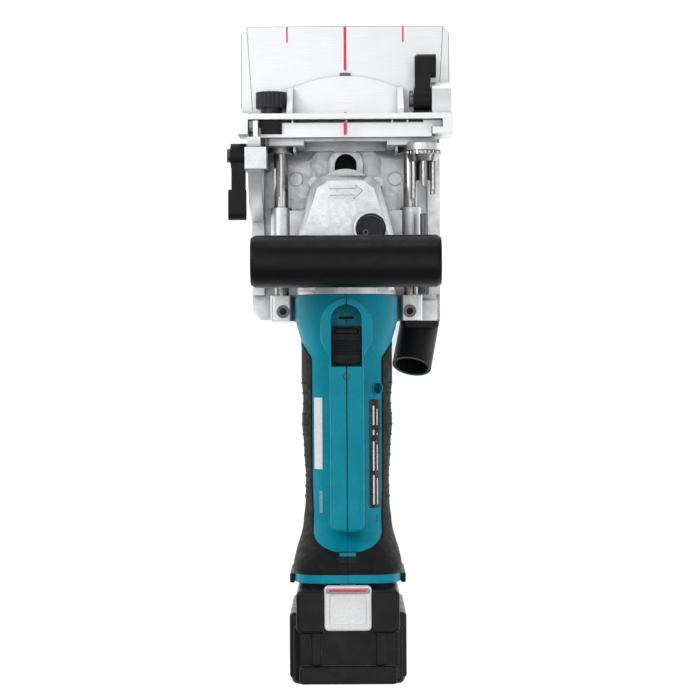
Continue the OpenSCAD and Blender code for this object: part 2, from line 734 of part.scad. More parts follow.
module motor_housing(side) {
    difference() {
        intersection() {
            housing_outer();
            if (side > 0) block([0.02, 60], [-260, -50], [0, 120]);
            else block([-60, -0.02], [-260, -50], [0, 120]);
        }
        difference() {
            housing_inner();
            // seats of the motor can and the rear bearing, and screw bosses
            for (y = [[-79, -76], [-114, -111], [-141, -133]]) rod_along_y(0, motor_z, 50, y);
            for (p = housing_screw_at) rod_along_x(p[0], p[1], 8, [-30, 30]);
        }
        rod_along_y(0, motor_z, 46 + 2 * fit, [-117, -70]);
        rod_along_y(0, motor_z, 10, [-142, -116]);
        rod_along_y(0, motor_z, 19 + 2 * fit, [-140, -134]);
        rod_along_y(0, motor_z, 30, [-134.2, -116]);
        difference() {
            rod_along_y(0, motor_z, grip_d + 2, [grip_y[0] + 1.98, grip_y[1] - 1.98]);
            rod_along_y(0, motor_z, grip_d - 2 * grip_skin, [grip_y[0], grip_y[1]]);
            block([-20.98, 20.98], [-250, -50], [0, 120]);
        }
        for (p = housing_screw_at) {
            rod_along_x(p[0], p[1], 3 + 2 * fit, [-14, 20]);
            rod_along_x(p[0], p[1], 6.8, [16, 40]);
        }
        // recess of the switch slider, slot of its stem and channel of its link
        block([-9.4, 9.4], [-101.6, -64], [84.4, 89]);
        block([-3.2, 3.2], [-101, -68], [79, 85]);
        block([-4, 4], [-152, -68], [79.6, 83.6]);
        block([-14.2, 14.2], [-240, rear_wall_y + 4], [33.8, 78.2]);
    }
}

module motor_housing_left() { color("#0a87a5") motor_housing(-1); }
module motor_housing_right() { color("#0a87a5") motor_housing(1); }

module rubber_grip_left() {
    color("#262427") difference() {
        grip_band(grip_d);
        rod_along_y(0, motor_z, grip_d - 2 * grip_skin + 0.04, [grip_y[0], grip_y[1]]);
        block([0, 60], [-250, -50], [0, 120]);
    }
}

module rubber_grip_right() {
    color("#262427") difference() {
        grip_band(grip_d);
        rod_along_y(0, motor_z, grip_d - 2 * grip_skin + 0.04, [grip_y[0], grip_y[1]]);
        block([-60, 0], [-250, -50], [0, 120]);
        for (p = housing_screw_at) rod_along_x(p[0], p[1], 6.8, [16, 40]);
    }
}

module housing_screws() {
    color("dimgray") for (p = housing_screw_at) {
        rod_along_x(p[0], p[1], 3, [-13.8, 16.1]);
        rod_along_x(p[0], p[1], 6.2, [16.05, 18.6]);
    }
}

// ---- Motor ----

module motor_can() {
    color("slategray") difference() {
        rod_along_y(0, motor_z, 46, [-116, -71]);
        rod_along_y(0, motor_z, 41, [-117, -70]);
    }
}

module magnets() {
    color("#3a3a3e") for (a = [0, 180])
        translate([0, -76, motor_z]) rotate([90, a, 0]) linear_extrude(36) arc_band(17, 20.48, -60, 60);
}

module armature() {
    color("#8a5a3c") {
        rod_along_y(0, motor_z, 8, [-118, -15.6]);
        rod_along_y(0, motor_z, 5.8, [-15.7, -10.8]);
        rod_along_y(0, motor_z, 32, [-111, -79]);
        rod_along_y(0, motor_z, 18, [-128, -117]);
        rod_along_y(0, motor_z, 6, [-141, -127]);
        translate([0, -11, motor_z]) rotate([90, 0, 0]) linear_extrude(4.5)
            gear_teeth(pinion_teeth, 3, pinion_r + 0.9, 1.5, 0.6);
    }
}

module fan() {
    color("#262427") translate([0, -58.5, motor_z]) rotate([90, 0, 0]) difference() {
        union() {
            cylinder(d = 15, h = 9);
            translate([0, 0, 7.4]) cylinder(d = 54, h = 1.6);
            for (i = [0 : 10]) rotate(i * 360 / 11) translate([6, -0.7, 0]) cube([20, 1.4, 8]);
        }
        translate([0, 0, -1]) cylinder(d = 8 + 2 * fit, h = 12);
    }
}

module brush_holders() {
    color("#b58b3a") both_sides() difference() {
        block([10.4, 14.9], [-127, -119], [51.6, 60.4]);
        block([9, 26], [-126, -120], [52.6, 59.4]);
    }
}

module brushes() { color("#3a3a3e") both_sides() block([9.4, 14.6], [-125.9, -120.1], [52.7, 59.3]); }

module ring_bearing(od, id, w)
    rotate_extrude() {
        translate([id / 2, 0]) square([(od - id) / 2, w]);
    }

module armature_bearings() {
    color("gainsboro") {
        translate([0, -22, motor_z]) rotate([90, 0, 0]) ring_bearing(22, 8 + 2 * run, 7);
        translate([0, -134, motor_z]) rotate([90, 0, 0]) ring_bearing(19, 6 + 2 * run, 6);
    }
}

module spindle_bearings() {
    color("gainsboro") {
        translate([0, 0, 28]) ring_bearing(28, 12 + 2 * run, 8);
        translate([0, 0, 56]) ring_bearing(12, 8 + 2 * run, 8);
    }
}

module controller() {
    color("#1f6b45") {
        block([-15, 15], [-188, -156], [38, 39.8]);
        block([-11, 3], [-184, -172], [39.8, 48]);
        rod_along_z(9, -164, 8, [39.8, 51]);
        rod_along_z(-8, -163, 6, [39.8, 47]);
    }
}

module switch_unit() {
    color("#262427") {
        block([-8, 8], [-171, -153.5], [62, 78]);
        block([-4.5, 4.5], [-171, -153.5], [77, 79.4]);
        block([-3, 3], [-153.6, -152.6], [78.2, 79.4]);
    }
}

module terminal_block() {
    color("#262427") {
        block([-14, 14], [-235.4, -214], [34, 78]);
        for (x = [-9, 7.8]) block([x, x + 1.2], [-242, -235.4], [42, 68]);
    }
}

// ---- Spindle and blade ----

module spindle() {
    color("gainsboro") {
        rod_along_z(0, 0, 12, [16, 50.2]);
        rod_along_z(0, 0, 8, [50.1, 64.5]);
        rod_along_z(0, 0, 10, [4.2, 16]);
    }
}

module ring_gear() {
    color("gray") difference() {
        union() {
            difference() {
                rod_along_z(0, 0, 40, [38, 42]);
                for (i = [0 : 7])
                    rotate(lock_angle + 45 * i) translate([lock_r, 0, 37]) cylinder(d = 4.6, h = 6);
            }
            rod_along_z(0, 0, 30.4, [41.9, mesh_z - 1.1]);
            for (i = [0 : ring_teeth - 1]) rotate(-90 + (i + 0.5) * 360 / ring_teeth)
                translate([11.5, 0, mesh_z - 1.2]) rotate([90, 0, 90]) linear_extrude(3.7)
                    polygon([[-0.75, 0], [0.75, 0], [0.35, 1.9], [-0.35, 1.9]]);
        }
        rod_along_z(0, 0, 12 + 2 * fit, [37, 60]);
    }
}

module inner_flange() {
    color("gainsboro") difference() {
        rod_along_z(0, 0, 35, [blade_z + 1.5, 16.4]);
        rod_along_z(0, 0, 12 + 2 * fit, [16, 20]);
        rod_along_z(0, 0, 10 + 2 * fit, [0, 17]);
    }
}

module saw_blade() {
    teeth = 6;
    color("#9fa4a8") difference() {
        union() {
            translate([0, 0, blade_z - 1.5]) linear_extrude(3) difference() {
                circle(blade_d / 2 - 2, $fn = 96);
                for (i = [0 : teeth - 1])
                    rotate(i * 360 / teeth + 6) translate([blade_d / 2 - 4, 0]) circle(6);
            }
            // carbide tips
            for (i = [0 : teeth - 1]) rotate(i * 360 / teeth)
                block([blade_d / 2 - 11, blade_d / 2 - 0.05], [-1.5, 1.1],
                      [blade_z - blade_t / 2, blade_z + blade_t / 2]);
        }
        rod_along_z(0, 0, 20, [blade_z - 3, blade_z + 3]);
    }
}

module lock_nut() {
    color("dimgray") difference() {
        union() {
            rod_along_z(0, 0, 30, [4.4, blade_z - 1.5]);
            rod_along_z(0, 0, 20 - 2 * fit, [blade_z - 1.6, blade_z + 1.5]);
        }
        rod_along_z(0, 0, 10 + 2 * fit, [4, 12]);
        for (a = [0, 180]) rotate(a) rod_along_z(11.5, 0, 4, [4, 7.4]);
    }
}

// ---- Controls ----

module shaft_lock_button() {
    color("#262427") {
        difference() {
            rod_along_z(lock_button_at[0], lock_button_at[1], 16, [77.5, 82.4]);
            rod_along_z(lock_button_at[0] - 3, lock_button_at[1] - 2, 3, [81.4, 83]);
        }
        rod_along_z(lock_button_at[0], lock_button_at[1], 6, [70.2, 78]);
        rod_along_z(lock_pin_at[0], lock_pin_at[1], 3.6, [42.4, 78]);
    }
}

module switch_slider() {
    color("#262427") {
        block([-9, 9], [-101, -77], [84.6, 88]);
        for (y = [-80, -86, -92]) plate_along_x([-8, 8])
            polygon([[y - 1.6, 87.5], [y - 0.5, 89.6], [y + 0.5, 89.6], [y + 1.6, 87.5]]);
        block([-2.9, 2.9], [-100, -78], [82.6, 84.8]);
        block([-2.9, 2.9], [-152, -78], [80.4, 83]);
        block([-2.9, 2.9], [-152, -150], [78.4, 81]);
    }
}

module depth_adjuster() {
    color("dimgray") {
        rod_along_y(turret_at[0], adjuster_z, 4, [-55, adjuster_end_y]);
        translate([turret_at[0], -51, adjuster_z]) rotate([90, 0, 0])
            linear_extrude(5.4) knurl(3.6, 12, 0.45);
        rod_along_y(turret_at[0], adjuster_z, 7, [-29.6, -26.5], $fn = 6);
    }
}

// ---- Battery ----

module battery_block(y) {
    plate_along_y([y[0], min(y[1], shoulder[0])])
        round_rect([-battery_w / 2, battery_w / 2], [0, shoulder[1]], 5);
    plate_along_y(y) round_rect([-battery_neck_w / 2, battery_neck_w / 2], [0, battery_h], 7);
}

module battery_inside(y) block([-33, 33], y, [6, 100.2]);

module battery_case_front() {
    color("#262427") difference() {
        battery_block([split_y + 0.02, battery_front_y]);
        battery_inside([split_y - 1, -251.2]);
        block([-29, 29], [-252, -244.5], [6, 100]);
        both_sides() {
            block([19.5, 29.5], [-240.2, -236.8], [-1, 95.6]);
            block([19.5, 24.5], [-238, -235], [-1, 95.6]);
            block([7, 10], [-243, -235], [-1, 69]);
        }
        block([-14.7, 14.7], [-264.4, -235], [103.5, 113]);
        block([-5.4, 5.4], [-241.4, -235], [96.6, 104]);
    }
}

module battery_case_rear() {
    color("#262427") difference() {
        battery_block([battery_back_y, split_y - 0.02]);
        battery_inside([-290.5, split_y + 1]);
    }
}

module battery_cells() {
    color("seagreen") for (y = cell_rows_y, i = [-2 : 2])
        rod_along_x(y, 53 + i * 18.6, cell_d, [-32.5, 32.5]);
}

module battery_terminals() {
    color("#b58b3a") both_sides() block([5, 13], [-250.8, -244.6], [44, 66]);
}

module battery_latch() {
    color("whitesmoke") {
        block([-14.4, 14.4], [-261, -236.4], [103.8, 112]);
        block([-5, 5], [-238, -233.8], [97, 103.2]);
        block([-5, 5], [-238, -236.3], [97, 105]);
    }
}

base_casting();
cover_hinge_pin();
guide_rods();
rod_screws();
spring_guide_pins();
return_springs();
turret_screw();
dust_nozzle();
nozzle_screws();
guide_hinge_pins();
angle_clamp_block();
angle_clamp_bolt();
blade_cover();
cover_screw();
depth_turret();
angle_guide();
height_rack();
angle_lock_lever();
fence();
fence_lock_pin();
fence_lock_shoe();
fence_lock_lever();
height_knob();
height_pinion();
gear_housing();
bearing_box();
box_screws();
slide_bushes();
front_handle();
handle_screws();
motor_housing_left();
motor_housing_right();
rubber_grip_left();
rubber_grip_right();
housing_screws();
motor_can();
magnets();
brush_holders();
brushes();
controller();
terminal_block();
armature_bearings();
spindle_bearings();
switch_unit();
spindle();
ring_gear();
inner_flange();
saw_blade();
lock_nut();
armature();
fan();
shaft_lock_button();
switch_slider();
depth_adjuster();
battery_case_front();
battery_case_rear();
battery_cells();
battery_terminals();
battery_latch();
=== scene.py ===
"""Looks of the cordless biscuit joiner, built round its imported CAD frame. All lengths are in metres."""
import json
import math
import bpy
import bmesh
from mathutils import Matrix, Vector

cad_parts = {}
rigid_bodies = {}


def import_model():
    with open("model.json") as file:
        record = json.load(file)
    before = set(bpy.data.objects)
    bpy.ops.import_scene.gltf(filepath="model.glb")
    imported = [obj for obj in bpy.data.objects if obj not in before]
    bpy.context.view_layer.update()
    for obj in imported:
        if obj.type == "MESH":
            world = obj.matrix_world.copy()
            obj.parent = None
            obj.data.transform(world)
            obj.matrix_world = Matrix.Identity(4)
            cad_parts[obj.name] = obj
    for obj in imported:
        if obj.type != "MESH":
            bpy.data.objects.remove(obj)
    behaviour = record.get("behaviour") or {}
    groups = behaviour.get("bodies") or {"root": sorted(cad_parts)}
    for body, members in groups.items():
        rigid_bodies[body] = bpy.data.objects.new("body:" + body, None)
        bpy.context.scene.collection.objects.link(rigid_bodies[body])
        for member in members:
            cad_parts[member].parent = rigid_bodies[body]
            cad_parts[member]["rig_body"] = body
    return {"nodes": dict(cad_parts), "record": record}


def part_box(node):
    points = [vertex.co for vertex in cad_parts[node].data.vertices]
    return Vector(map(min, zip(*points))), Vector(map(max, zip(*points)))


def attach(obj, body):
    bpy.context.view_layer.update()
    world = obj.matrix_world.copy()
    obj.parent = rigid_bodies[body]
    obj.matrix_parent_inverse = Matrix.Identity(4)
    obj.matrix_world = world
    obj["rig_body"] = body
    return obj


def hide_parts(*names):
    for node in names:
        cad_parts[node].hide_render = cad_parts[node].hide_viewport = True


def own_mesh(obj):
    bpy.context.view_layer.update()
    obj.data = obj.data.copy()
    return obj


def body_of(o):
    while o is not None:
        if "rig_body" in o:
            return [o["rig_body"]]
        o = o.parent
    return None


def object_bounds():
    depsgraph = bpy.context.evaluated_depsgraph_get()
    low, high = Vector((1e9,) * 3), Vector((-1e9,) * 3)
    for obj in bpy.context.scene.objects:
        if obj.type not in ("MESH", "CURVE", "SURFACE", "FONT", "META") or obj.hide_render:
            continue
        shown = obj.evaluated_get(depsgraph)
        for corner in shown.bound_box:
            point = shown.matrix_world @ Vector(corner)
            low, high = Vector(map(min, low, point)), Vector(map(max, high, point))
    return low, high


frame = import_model()
cad_box = [list(corner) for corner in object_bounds()]

TAU = 2 * math.pi
SIDES = ((1, "right"), (-1, "left"))


# ---- Places taken from the frame ----

def span(node, axis):
    """Lowest and highest value of a CAD node along one axis."""
    low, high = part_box(node)
    return low[axis], high[axis]


FENCE_SIDE, FENCE_FRONT = span("fence", 0)[1], span("fence", 1)[1]
PLATE_Z = span("fence", 2)[0] + 0.004              # top of the fence's flat plate
GUIDE_TOP_Z = span("angle_guide", 2)[1]
GUIDE_TOP_Y = (0.041, 0.0496)                      # the band along the guide's upper edge
HOUSING_Y = (span("battery_case_front", 1)[1] + 0.003, span("motor_housing_left", 1)[1])
GRIP_Y = span("rubber_grip_left", 1)
AXIS_Z = sum(span("motor_can", 2)) / 2             # height of the motor's axis
GRIP_R = span("rubber_grip_right", 0)[1]
FAN_CASE_R = GRIP_R + 0.0036
SPINE_TOP = span("motor_housing_left", 2)[1]
BATTERY_X = span("battery_case_rear", 0)[1]
BATTERY_Y = (span("battery_case_rear", 1)[0], span("battery_case_front", 1)[1])
BATTERY_TOP = span("battery_case_front", 2)[1]
LATCH_Y = span("battery_latch", 1)
GEAR_TOP = span("gear_housing", 2)[1]
LOCK_X, LOCK_Y = (sum(span("shaft_lock_button", axis)) / 2 for axis in (0, 1))
LOCK_TOP = span("shaft_lock_button", 2)[1]
SLIDER_BACK, SLIDER_FRONT = span("switch_slider", 1)
SLIDER_TOP = span("switch_slider", 2)[1]


# ---- Materials ----

class Shader:
    """A principled material, with short calls that add and join nodes."""

    def __init__(self, name, rough, metal=0.0, **sockets):
        self.material = bpy.data.materials.new(name)
        self.material.use_nodes = True
        self.tree = self.material.node_tree
        self.bsdf = self.tree.nodes["Principled BSDF"]
        self.bsdf.inputs["Roughness"].default_value = rough
        self.bsdf.inputs["Metallic"].default_value = metal
        for socket, value in sockets.items():
            self.bsdf.inputs[socket.replace("_", " ")].default_value = value
        self.place = self.add("ShaderNodeTexCoord").outputs["Object"]
        self.edge_normal = None

    def add(self, kind, **settings):
        node = self.tree.nodes.new(kind)
        for key, value in settings.items():
            setattr(node, key, value)
        return node

    def join(self, output, socket):
        self.tree.links.new(output, socket)

    def noise(self, size, detail=3.0, stretch=(1, 1, 1)):
        """Noise whose features are about size across, longer along an axis with a small stretch value."""
        mapping = self.add("ShaderNodeMapping")
        mapping.inputs["Scale"].default_value = stretch
        self.join(self.place, mapping.inputs["Vector"])
        node = self.add("ShaderNodeTexNoise")
        node.inputs["Scale"].default_value = 1 / size
        node.inputs["Detail"].default_value = detail
        self.join(mapping.outputs["Vector"], node.inputs["Vector"])
        return node.outputs["Fac"]

    def scaled(self, factor, low, high, start=0.3, end=0.7):
        """The factor from start to end, turned into low to high."""
        node = self.add("ShaderNodeMapRange")
        for socket, value in (("From Min", start), ("From Max", end), ("To Min", low), ("To Max", high)):
            node.inputs[socket].default_value = value
        self.join(factor, node.inputs["Value"])
        return node.outputs["Result"]

    def edges(self, radius):
        """1 along the edges, 0 away from them."""
        bevel = self.add("ShaderNodeBevel", samples=4)
        bevel.inputs["Radius"].default_value = radius
        self.edge_normal = bevel.outputs["Normal"]
        flat = self.add("ShaderNodeNewGeometry").outputs["Normal"]
        dot = self.add("ShaderNodeVectorMath", operation="DOT_PRODUCT")
        self.join(self.edge_normal, dot.inputs[0])
        self.join(flat, dot.inputs[1])
        return self.scaled(dot.outputs["Value"], 1, 0, 0.86, 0.995)

    def hollows(self, reach):
        """A mask for painted shade: 0 deep in corners and hollows, 1 in the open."""
        node = self.add("ShaderNodeAmbientOcclusion", samples=6)
        node.inputs["Distance"].default_value = reach
        return self.scaled(node.outputs["AO"], 0, 1, 0.3, 0.9)

    def blend(self, factor, first, second):
        """A colour between two colours or colour outputs."""
        node = self.add("ShaderNodeMix", data_type="RGBA")
        self.join(factor, node.inputs["Factor"])
        for socket, value in ((node.inputs[6], first), (node.inputs[7], second)):
            if isinstance(value, tuple):
                socket.default_value = (*value, 1)
            else:
                self.join(value, socket)
        return node.outputs[2]

    def bump(self, height, depth, strength=1.0):
        node = self.add("ShaderNodeBump")
        node.inputs["Strength"].default_value = strength
        node.inputs["Distance"].default_value = depth
        self.join(height, node.inputs["Height"])
        if self.edge_normal:
            self.join(self.edge_normal, node.inputs["Normal"])
        self.edge_normal = node.outputs["Normal"]

    def finish(self, colour, rough=None):
        self.join(colour, self.bsdf.inputs["Base Color"])
        if rough:
            self.join(rough, self.bsdf.inputs["Roughness"])
        if self.edge_normal:
            self.join(self.edge_normal, self.bsdf.inputs["Normal"])
        return self.material


def lighter(colour, factor):
    return tuple(min(1.0, channel * factor) for channel in colour)


def cast_metal(name, colour, grain, rough):
    """Shot-blasted casting: pitted grain, cloudy tone, edges rubbed bright, and painted shade that darkens
    it in corners and hollows.
    """
    s = Shader(name, rough, 0.86)
    edge = s.edges(0.0005)
    s.bump(s.noise(grain, 4), 0.00016, 0.55)
    s.bump(s.noise(0.006, 2), 0.0003, 0.12)
    cloud = s.blend(s.scaled(s.noise(0.018, 3), 0, 1), lighter(colour, 0.86), lighter(colour, 1.04))
    speckle = s.blend(s.scaled(s.noise(grain * 1.5, 2), 0, 0.3, 0.5, 0.75), cloud, lighter(colour, 0.55))
    worn = s.blend(edge, speckle, lighter(colour, 1.2))
    # painted shade: the colour falls towards 0.3 of itself in corners and hollows
    shade = s.blend(s.hollows(0.02), lighter(colour, 0.3), worn)
    return s.finish(shade, s.scaled(s.noise(0.004, 3), rough - 0.07, rough + 0.09))


def brushed_metal(name, colour, rough, grain_axis, depth=0.00005, contrast=1.0):
    """Ground or drawn metal with fine lines along one axis, and painted shade that darkens it in corners
    and hollows.
    """
    s = Shader(name, rough, 1.0)
    edge = s.edges(0.0003)
    stretch = tuple(0.02 if axis == grain_axis else 1.0 for axis in range(3))
    lines = s.noise(0.00035, 3, stretch)
    s.bump(lines, depth, 0.5)
    tone = s.blend(s.scaled(lines, 0, 1), lighter(colour, 1 - 0.18 * contrast), lighter(colour, 1.08))
    smudge = s.blend(s.scaled(s.noise(0.012, 3), 0, 0.35), tone, lighter(colour, 1 - 0.28 * contrast))
    worn = s.blend(edge, smudge, lighter(colour, 1.35))
    # painted shade: the colour falls towards 0.42 of itself in corners and hollows
    shade = s.blend(s.hollows(0.007), lighter(colour, 0.42), worn)
    return s.finish(shade, s.scaled(lines, rough - 0.06, rough + 0.08))


def moulded(name, colour, rough, grain, depth, edge_tint, sheen=0.5, coat=0.0):
    """Moulded plastic: spark-eroded grain, slight mottling, and a tint along the edges that is partly
    polish from handling and partly painted light: a painted highlight where the tint is lighter than the
    colour, painted shade where it is darker.
    """
    s = Shader(name, rough, 0.0, Specular_IOR_Level=sheen, Coat_Weight=coat, Coat_Roughness=0.25)
    edge = s.edges(0.0005)
    s.bump(s.noise(grain, 3), depth, 0.6)
    mottle = s.blend(s.scaled(s.noise(0.02, 3), 0, 1), lighter(colour, 0.88), lighter(colour, 1.1))
    fine = s.blend(s.scaled(s.noise(grain * 2, 2), 0, 0.35), mottle, lighter(colour, 0.7))
    # edge_tint along the edges: painted highlight or painted shade, together with polish from handling
    return s.finish(s.blend(edge, fine, edge_tint), s.scaled(s.noise(0.009, 4), rough - 0.07, rough + 0.1))


def ribbed_rubber(name, colour):
    """Soft overmould: pebbled skin with shallow cells and dust in them, and a painted highlight along the
    edges.
    """
    s = Shader(name, 0.62, 0.0, Specular_IOR_Level=0.22, Sheen_Weight=0.0)
    edge = s.edges(0.0006)
    cells = s.add("ShaderNodeTexVoronoi", feature="DISTANCE_TO_EDGE")
    cells.inputs["Scale"].default_value = 620
    s.join(s.place, cells.inputs["Vector"])
    s.bump(s.scaled(cells.outputs["Distance"], 0, 1, 0, 0.25), 0.00025, 0.5)
    s.bump(s.noise(0.0006, 3), 0.00006, 0.5)
    dusty = s.blend(s.scaled(s.noise(0.012, 4), 0, 1), lighter(colour, 0.8), lighter(colour, 1.5))
    # edges lighter: a painted highlight along them
    return s.finish(s.blend(edge, dusty, lighter(colour, 2.4)), s.scaled(s.noise(0.004, 3), 0.5, 0.72))


def painted(name, colour, rough=0.45):
    """Thin printed ink for labels and marks, a little uneven; the same flat colour also makes painted
    shade for dark gaps and grey shade lines.
    """
    s = Shader(name, rough, 0.0)
    s.bump(s.noise(0.0008, 3), 0.00003, 0.4)
    tone = s.blend(s.scaled(s.noise(0.0015, 4), 0, 1), lighter(colour, 0.85), lighter(colour, 1.1))
    return s.finish(tone, s.scaled(s.noise(0.002, 2), rough - 0.08, rough + 0.08))


BLACK = (0.009, 0.0086, 0.0094)
NEAR_BLACK = (0.005, 0.0048, 0.0055)
HANDLE_BLACK = (0.004, 0.0038, 0.0048)
WORN_BLACK = (0.028, 0.028, 0.031)
RUBBER_BLACK = (0.0055, 0.0052, 0.0056)
TEAL = (0.0, 0.3, 0.415)
BOARD_GREEN = (0.03, 0.2, 0.09)
ALUMINIUM = (0.945, 0.95, 0.955)
CASTING = (0.88, 0.885, 0.9)

MATERIALS = {
    "cast_aluminium": cast_metal("cast_aluminium", CASTING, 0.0009, 0.4),
    "machined_aluminium": brushed_metal("machined_aluminium", ALUMINIUM, 0.46, 0, 0.000015, 0.3),
    "bright_steel": brushed_metal("bright_steel", (0.52, 0.515, 0.51), 0.16, 1),
    "dark_steel": brushed_metal("dark_steel", (0.16, 0.16, 0.17), 0.34, 1),
    # blade_steel is near black: painted shade, so the slot round the blade reads dark
    "blade_steel": cast_metal("blade_steel", (0.035, 0.035, 0.038), 0.0006, 0.5),
    "black_plastic": moulded("black_plastic", BLACK, 0.42, 0.0007, 0.00006, (0.03, 0.03, 0.034), 0.22),
    "worn_plastic": moulded("worn_plastic", WORN_BLACK, 0.45, 0.0007, 0.00006, (0.1, 0.1, 0.11), 0.3),
    "handle_plastic": moulded("handle_plastic", HANDLE_BLACK, 0.38, 0.0009, 0.00007,
                              (0.016, 0.016, 0.019), 0.2),
    "teal_plastic": moulded("teal_plastic", TEAL, 0.4, 0.0008, 0.00005, (0.01, 0.42, 0.56), 0.16),
    # a darker copy of the teal: painted shade at the floor of the screw hole
    "shaded_teal": moulded("shaded_teal", (0.0, 0.07, 0.1), 0.5, 0.0008, 0.00006, (0.0, 0.1, 0.14), 0.2),
    "grip_rubber": ribbed_rubber("grip_rubber", RUBBER_BLACK),
    # the battery's pale edge tint is a painted highlight on the edges of its raised parts
    "battery_plastic": moulded("battery_plastic", NEAR_BLACK, 0.32, 0.0008, 0.00005,
                               (0.11, 0.11, 0.12), 0.24),
    "latch_plastic": moulded("latch_plastic", (0.99, 0.99, 1.0), 0.3, 0.0008, 0.00002,
                             (0.8, 0.8, 0.84), 0.5, 0.3),
    "cell_wrap": moulded("cell_wrap", (0.08, 0.35, 0.16), 0.3, 0.001, 0.00003, (0.1, 0.4, 0.2)),
    "brass": brushed_metal("brass", (0.75, 0.53, 0.2), 0.3, 1),
    "winding": cast_metal("winding", (0.5, 0.24, 0.12), 0.0008, 0.35),
    "ferrite": cast_metal("ferrite", (0.1, 0.1, 0.11), 0.001, 0.6),
    "circuit_board": moulded("circuit_board", BOARD_GREEN, 0.35, 0.0009, 0.00003, (0.05, 0.3, 0.15)),
    "red_ink": painted("red_ink", (0.86, 0.05, 0.12)),
    "white_ink": painted("white_ink", (0.97, 0.98, 0.99)),
    "pale_ink": painted("pale_ink", (0.22, 0.42, 0.6)),
    "label_black": painted("label_black", (0.012, 0.012, 0.014), 0.3),
    "pale_grey": painted("pale_grey", (0.38, 0.38, 0.39)),
    # grey lines of painted shade along edges of the arrow and the fence
    "grey_line_shade": painted("grey_line_shade", (0.25, 0.25, 0.26)),
    # near-black painted shade for seams, slots, vents and holes that are dark only from the shade in them
    "gap_shade": painted("gap_shade", (0.006, 0.006, 0.007), 0.8),
}


# ---- Making pieces ----

def show(obj, material, body, slot, nodes=(), smooth=32, flat=True):
    """Finishes a new piece: material, shading, the body it rides on and the CAD nodes it stands for.
    flat keeps the shading of flat faces flat beside their rounded edges."""
    mesh = obj.data
    mesh.materials.clear()
    mesh.materials.append(MATERIALS[material])
    for face in mesh.polygons:
        face.use_smooth = True
    mesh.set_sharp_from_angle(angle=math.radians(smooth))
    if flat:
        modifier = obj.modifiers.new("flat faces", "WEIGHTED_NORMAL")
        modifier.keep_sharp = True
        modifier.weight = 100
    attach(obj, body)
    if nodes:
        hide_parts(*nodes)
    return obj


def on_unit(obj, material, slot="black_plastic", **looks):
    """A finished piece that rides on the power unit."""
    return show(obj, material, "power_unit", slot, **looks)


def link(name, mesh):
    obj = bpy.data.objects.new(name, mesh)
    bpy.context.scene.collection.objects.link(obj)
    return obj


def from_bmesh(name, bm):
    bmesh.ops.recalc_face_normals(bm, faces=bm.faces)
    mesh = bpy.data.meshes.new(name)
    bm.to_mesh(mesh)
    bm.free()
    return link(name, mesh)


def applied(obj):
    """Bakes the object's modifiers into its mesh."""
    bpy.context.view_layer.update()
    shape = obj.evaluated_get(bpy.context.evaluated_depsgraph_get())
    mesh = bpy.data.meshes.new_from_object(shape)
    obj.modifiers.clear()
    obj.data = mesh
    return obj


def bevelled(obj, width, segments=3, angle=35):
    modifier = obj.modifiers.new("edges", "BEVEL")
    modifier.width = width
    modifier.segments = segments
    modifier.limit_method = "ANGLE"
    modifier.angle_limit = math.radians(angle)
    modifier.use_clamp_overlap = True
    return applied(obj)


def carved(obj, *tools):
    """Cuts the tools out of the object and removes them."""
    for tool in tools:
        modifier = obj.modifiers.new("cut", "BOOLEAN")
        modifier.operation = "DIFFERENCE"
        modifier.solver = "EXACT"
        modifier.object = tool
    applied(obj)
    for tool in tools:
        bpy.data.objects.remove(tool)
    return obj


def soften(node, material, width=0.0):
    """A copy of a CAD node with its flat faces joined up and its edges rounded."""
    slot = next(part["material_slot"] for part in frame["record"]["subparts"] if part["node"] == node)
    bm = bmesh.new()
    bm.from_mesh(frame["nodes"][node].data)
    bmesh.ops.remove_doubles(bm, verts=bm.verts, dist=3e-6)
    bmesh.ops.dissolve_limit(bm, angle_limit=math.radians(1), verts=bm.verts, edges=bm.edges)
    obj = from_bmesh("soft_" + node, bm)
    if width:
        bevelled(obj, width, 2, 50)
    body = body_of(frame["nodes"][node])
    body = body if isinstance(body, str) else body[0]
    return show(obj, material, body, slot, (node,))


def prism(name, outline, low, high, along="z"):
    """An outline of (a, b) points given thickness: along z the points are x-y, along x they are y-z,
    along y they are x-z."""
    place = {"z": lambda a, b, c: (a, b, c), "x": lambda a, b, c: (c, a, b),
             "y": lambda a, b, c: (a, c, b)}[along]
    bm = bmesh.new()
    rings = [[bm.verts.new(place(a, b, level)) for a, b in outline] for level in (low, high)]
    bm.faces.new(rings[0])
    bm.faces.new(rings[1])
    for i in range(len(outline)):
        j = (i + 1) % len(outline)
        bm.faces.new((rings[0][i], rings[0][j], rings[1][j], rings[1][i]))
    return from_bmesh(name, bm)


def arc(cx, cy, r, start, end, steps=12):
    """Points on an arc, angles in degrees."""
    turn = [math.radians(start + (end - start) * i / steps) for i in range(steps + 1)]
    return [(cx + r * math.cos(a), cy + r * math.sin(a)) for a in turn]


def circle(cx, cy, r, steps):
    return arc(cx, cy, r, 0, 360, steps)[:-1]


def rounded(x0, x1, y0, y1, r, steps=6):
    """Outline of a rectangle with round corners."""
    corners = ((x1 - r, y1 - r, 0), (x0 + r, y1 - r, 90), (x0 + r, y0 + r, 180),
               (x1 - r, y0 + r, 270))
    return [point for cx, cy, a in corners for point in arc(cx, cy, r, a, a + 90, steps)]


def slab(name, x, y, z, r=0.001, edge=0.0004, along="z"):
    """A plate with round corners and softened edges."""
    flat = {"z": (x, y, z), "x": (y, z, x), "y": (x, z, y)}[along]
    obj = prism(name, rounded(*flat[0], *flat[1], r), *flat[2], along)
    return bevelled(obj, edge) if edge else obj


def joined(name, parts):
    """Several new objects as one."""
    bm = bmesh.new()
    for part in parts:
        bm.from_mesh(part.data)
        bpy.data.objects.remove(part)
    return from_bmesh(name, bm)


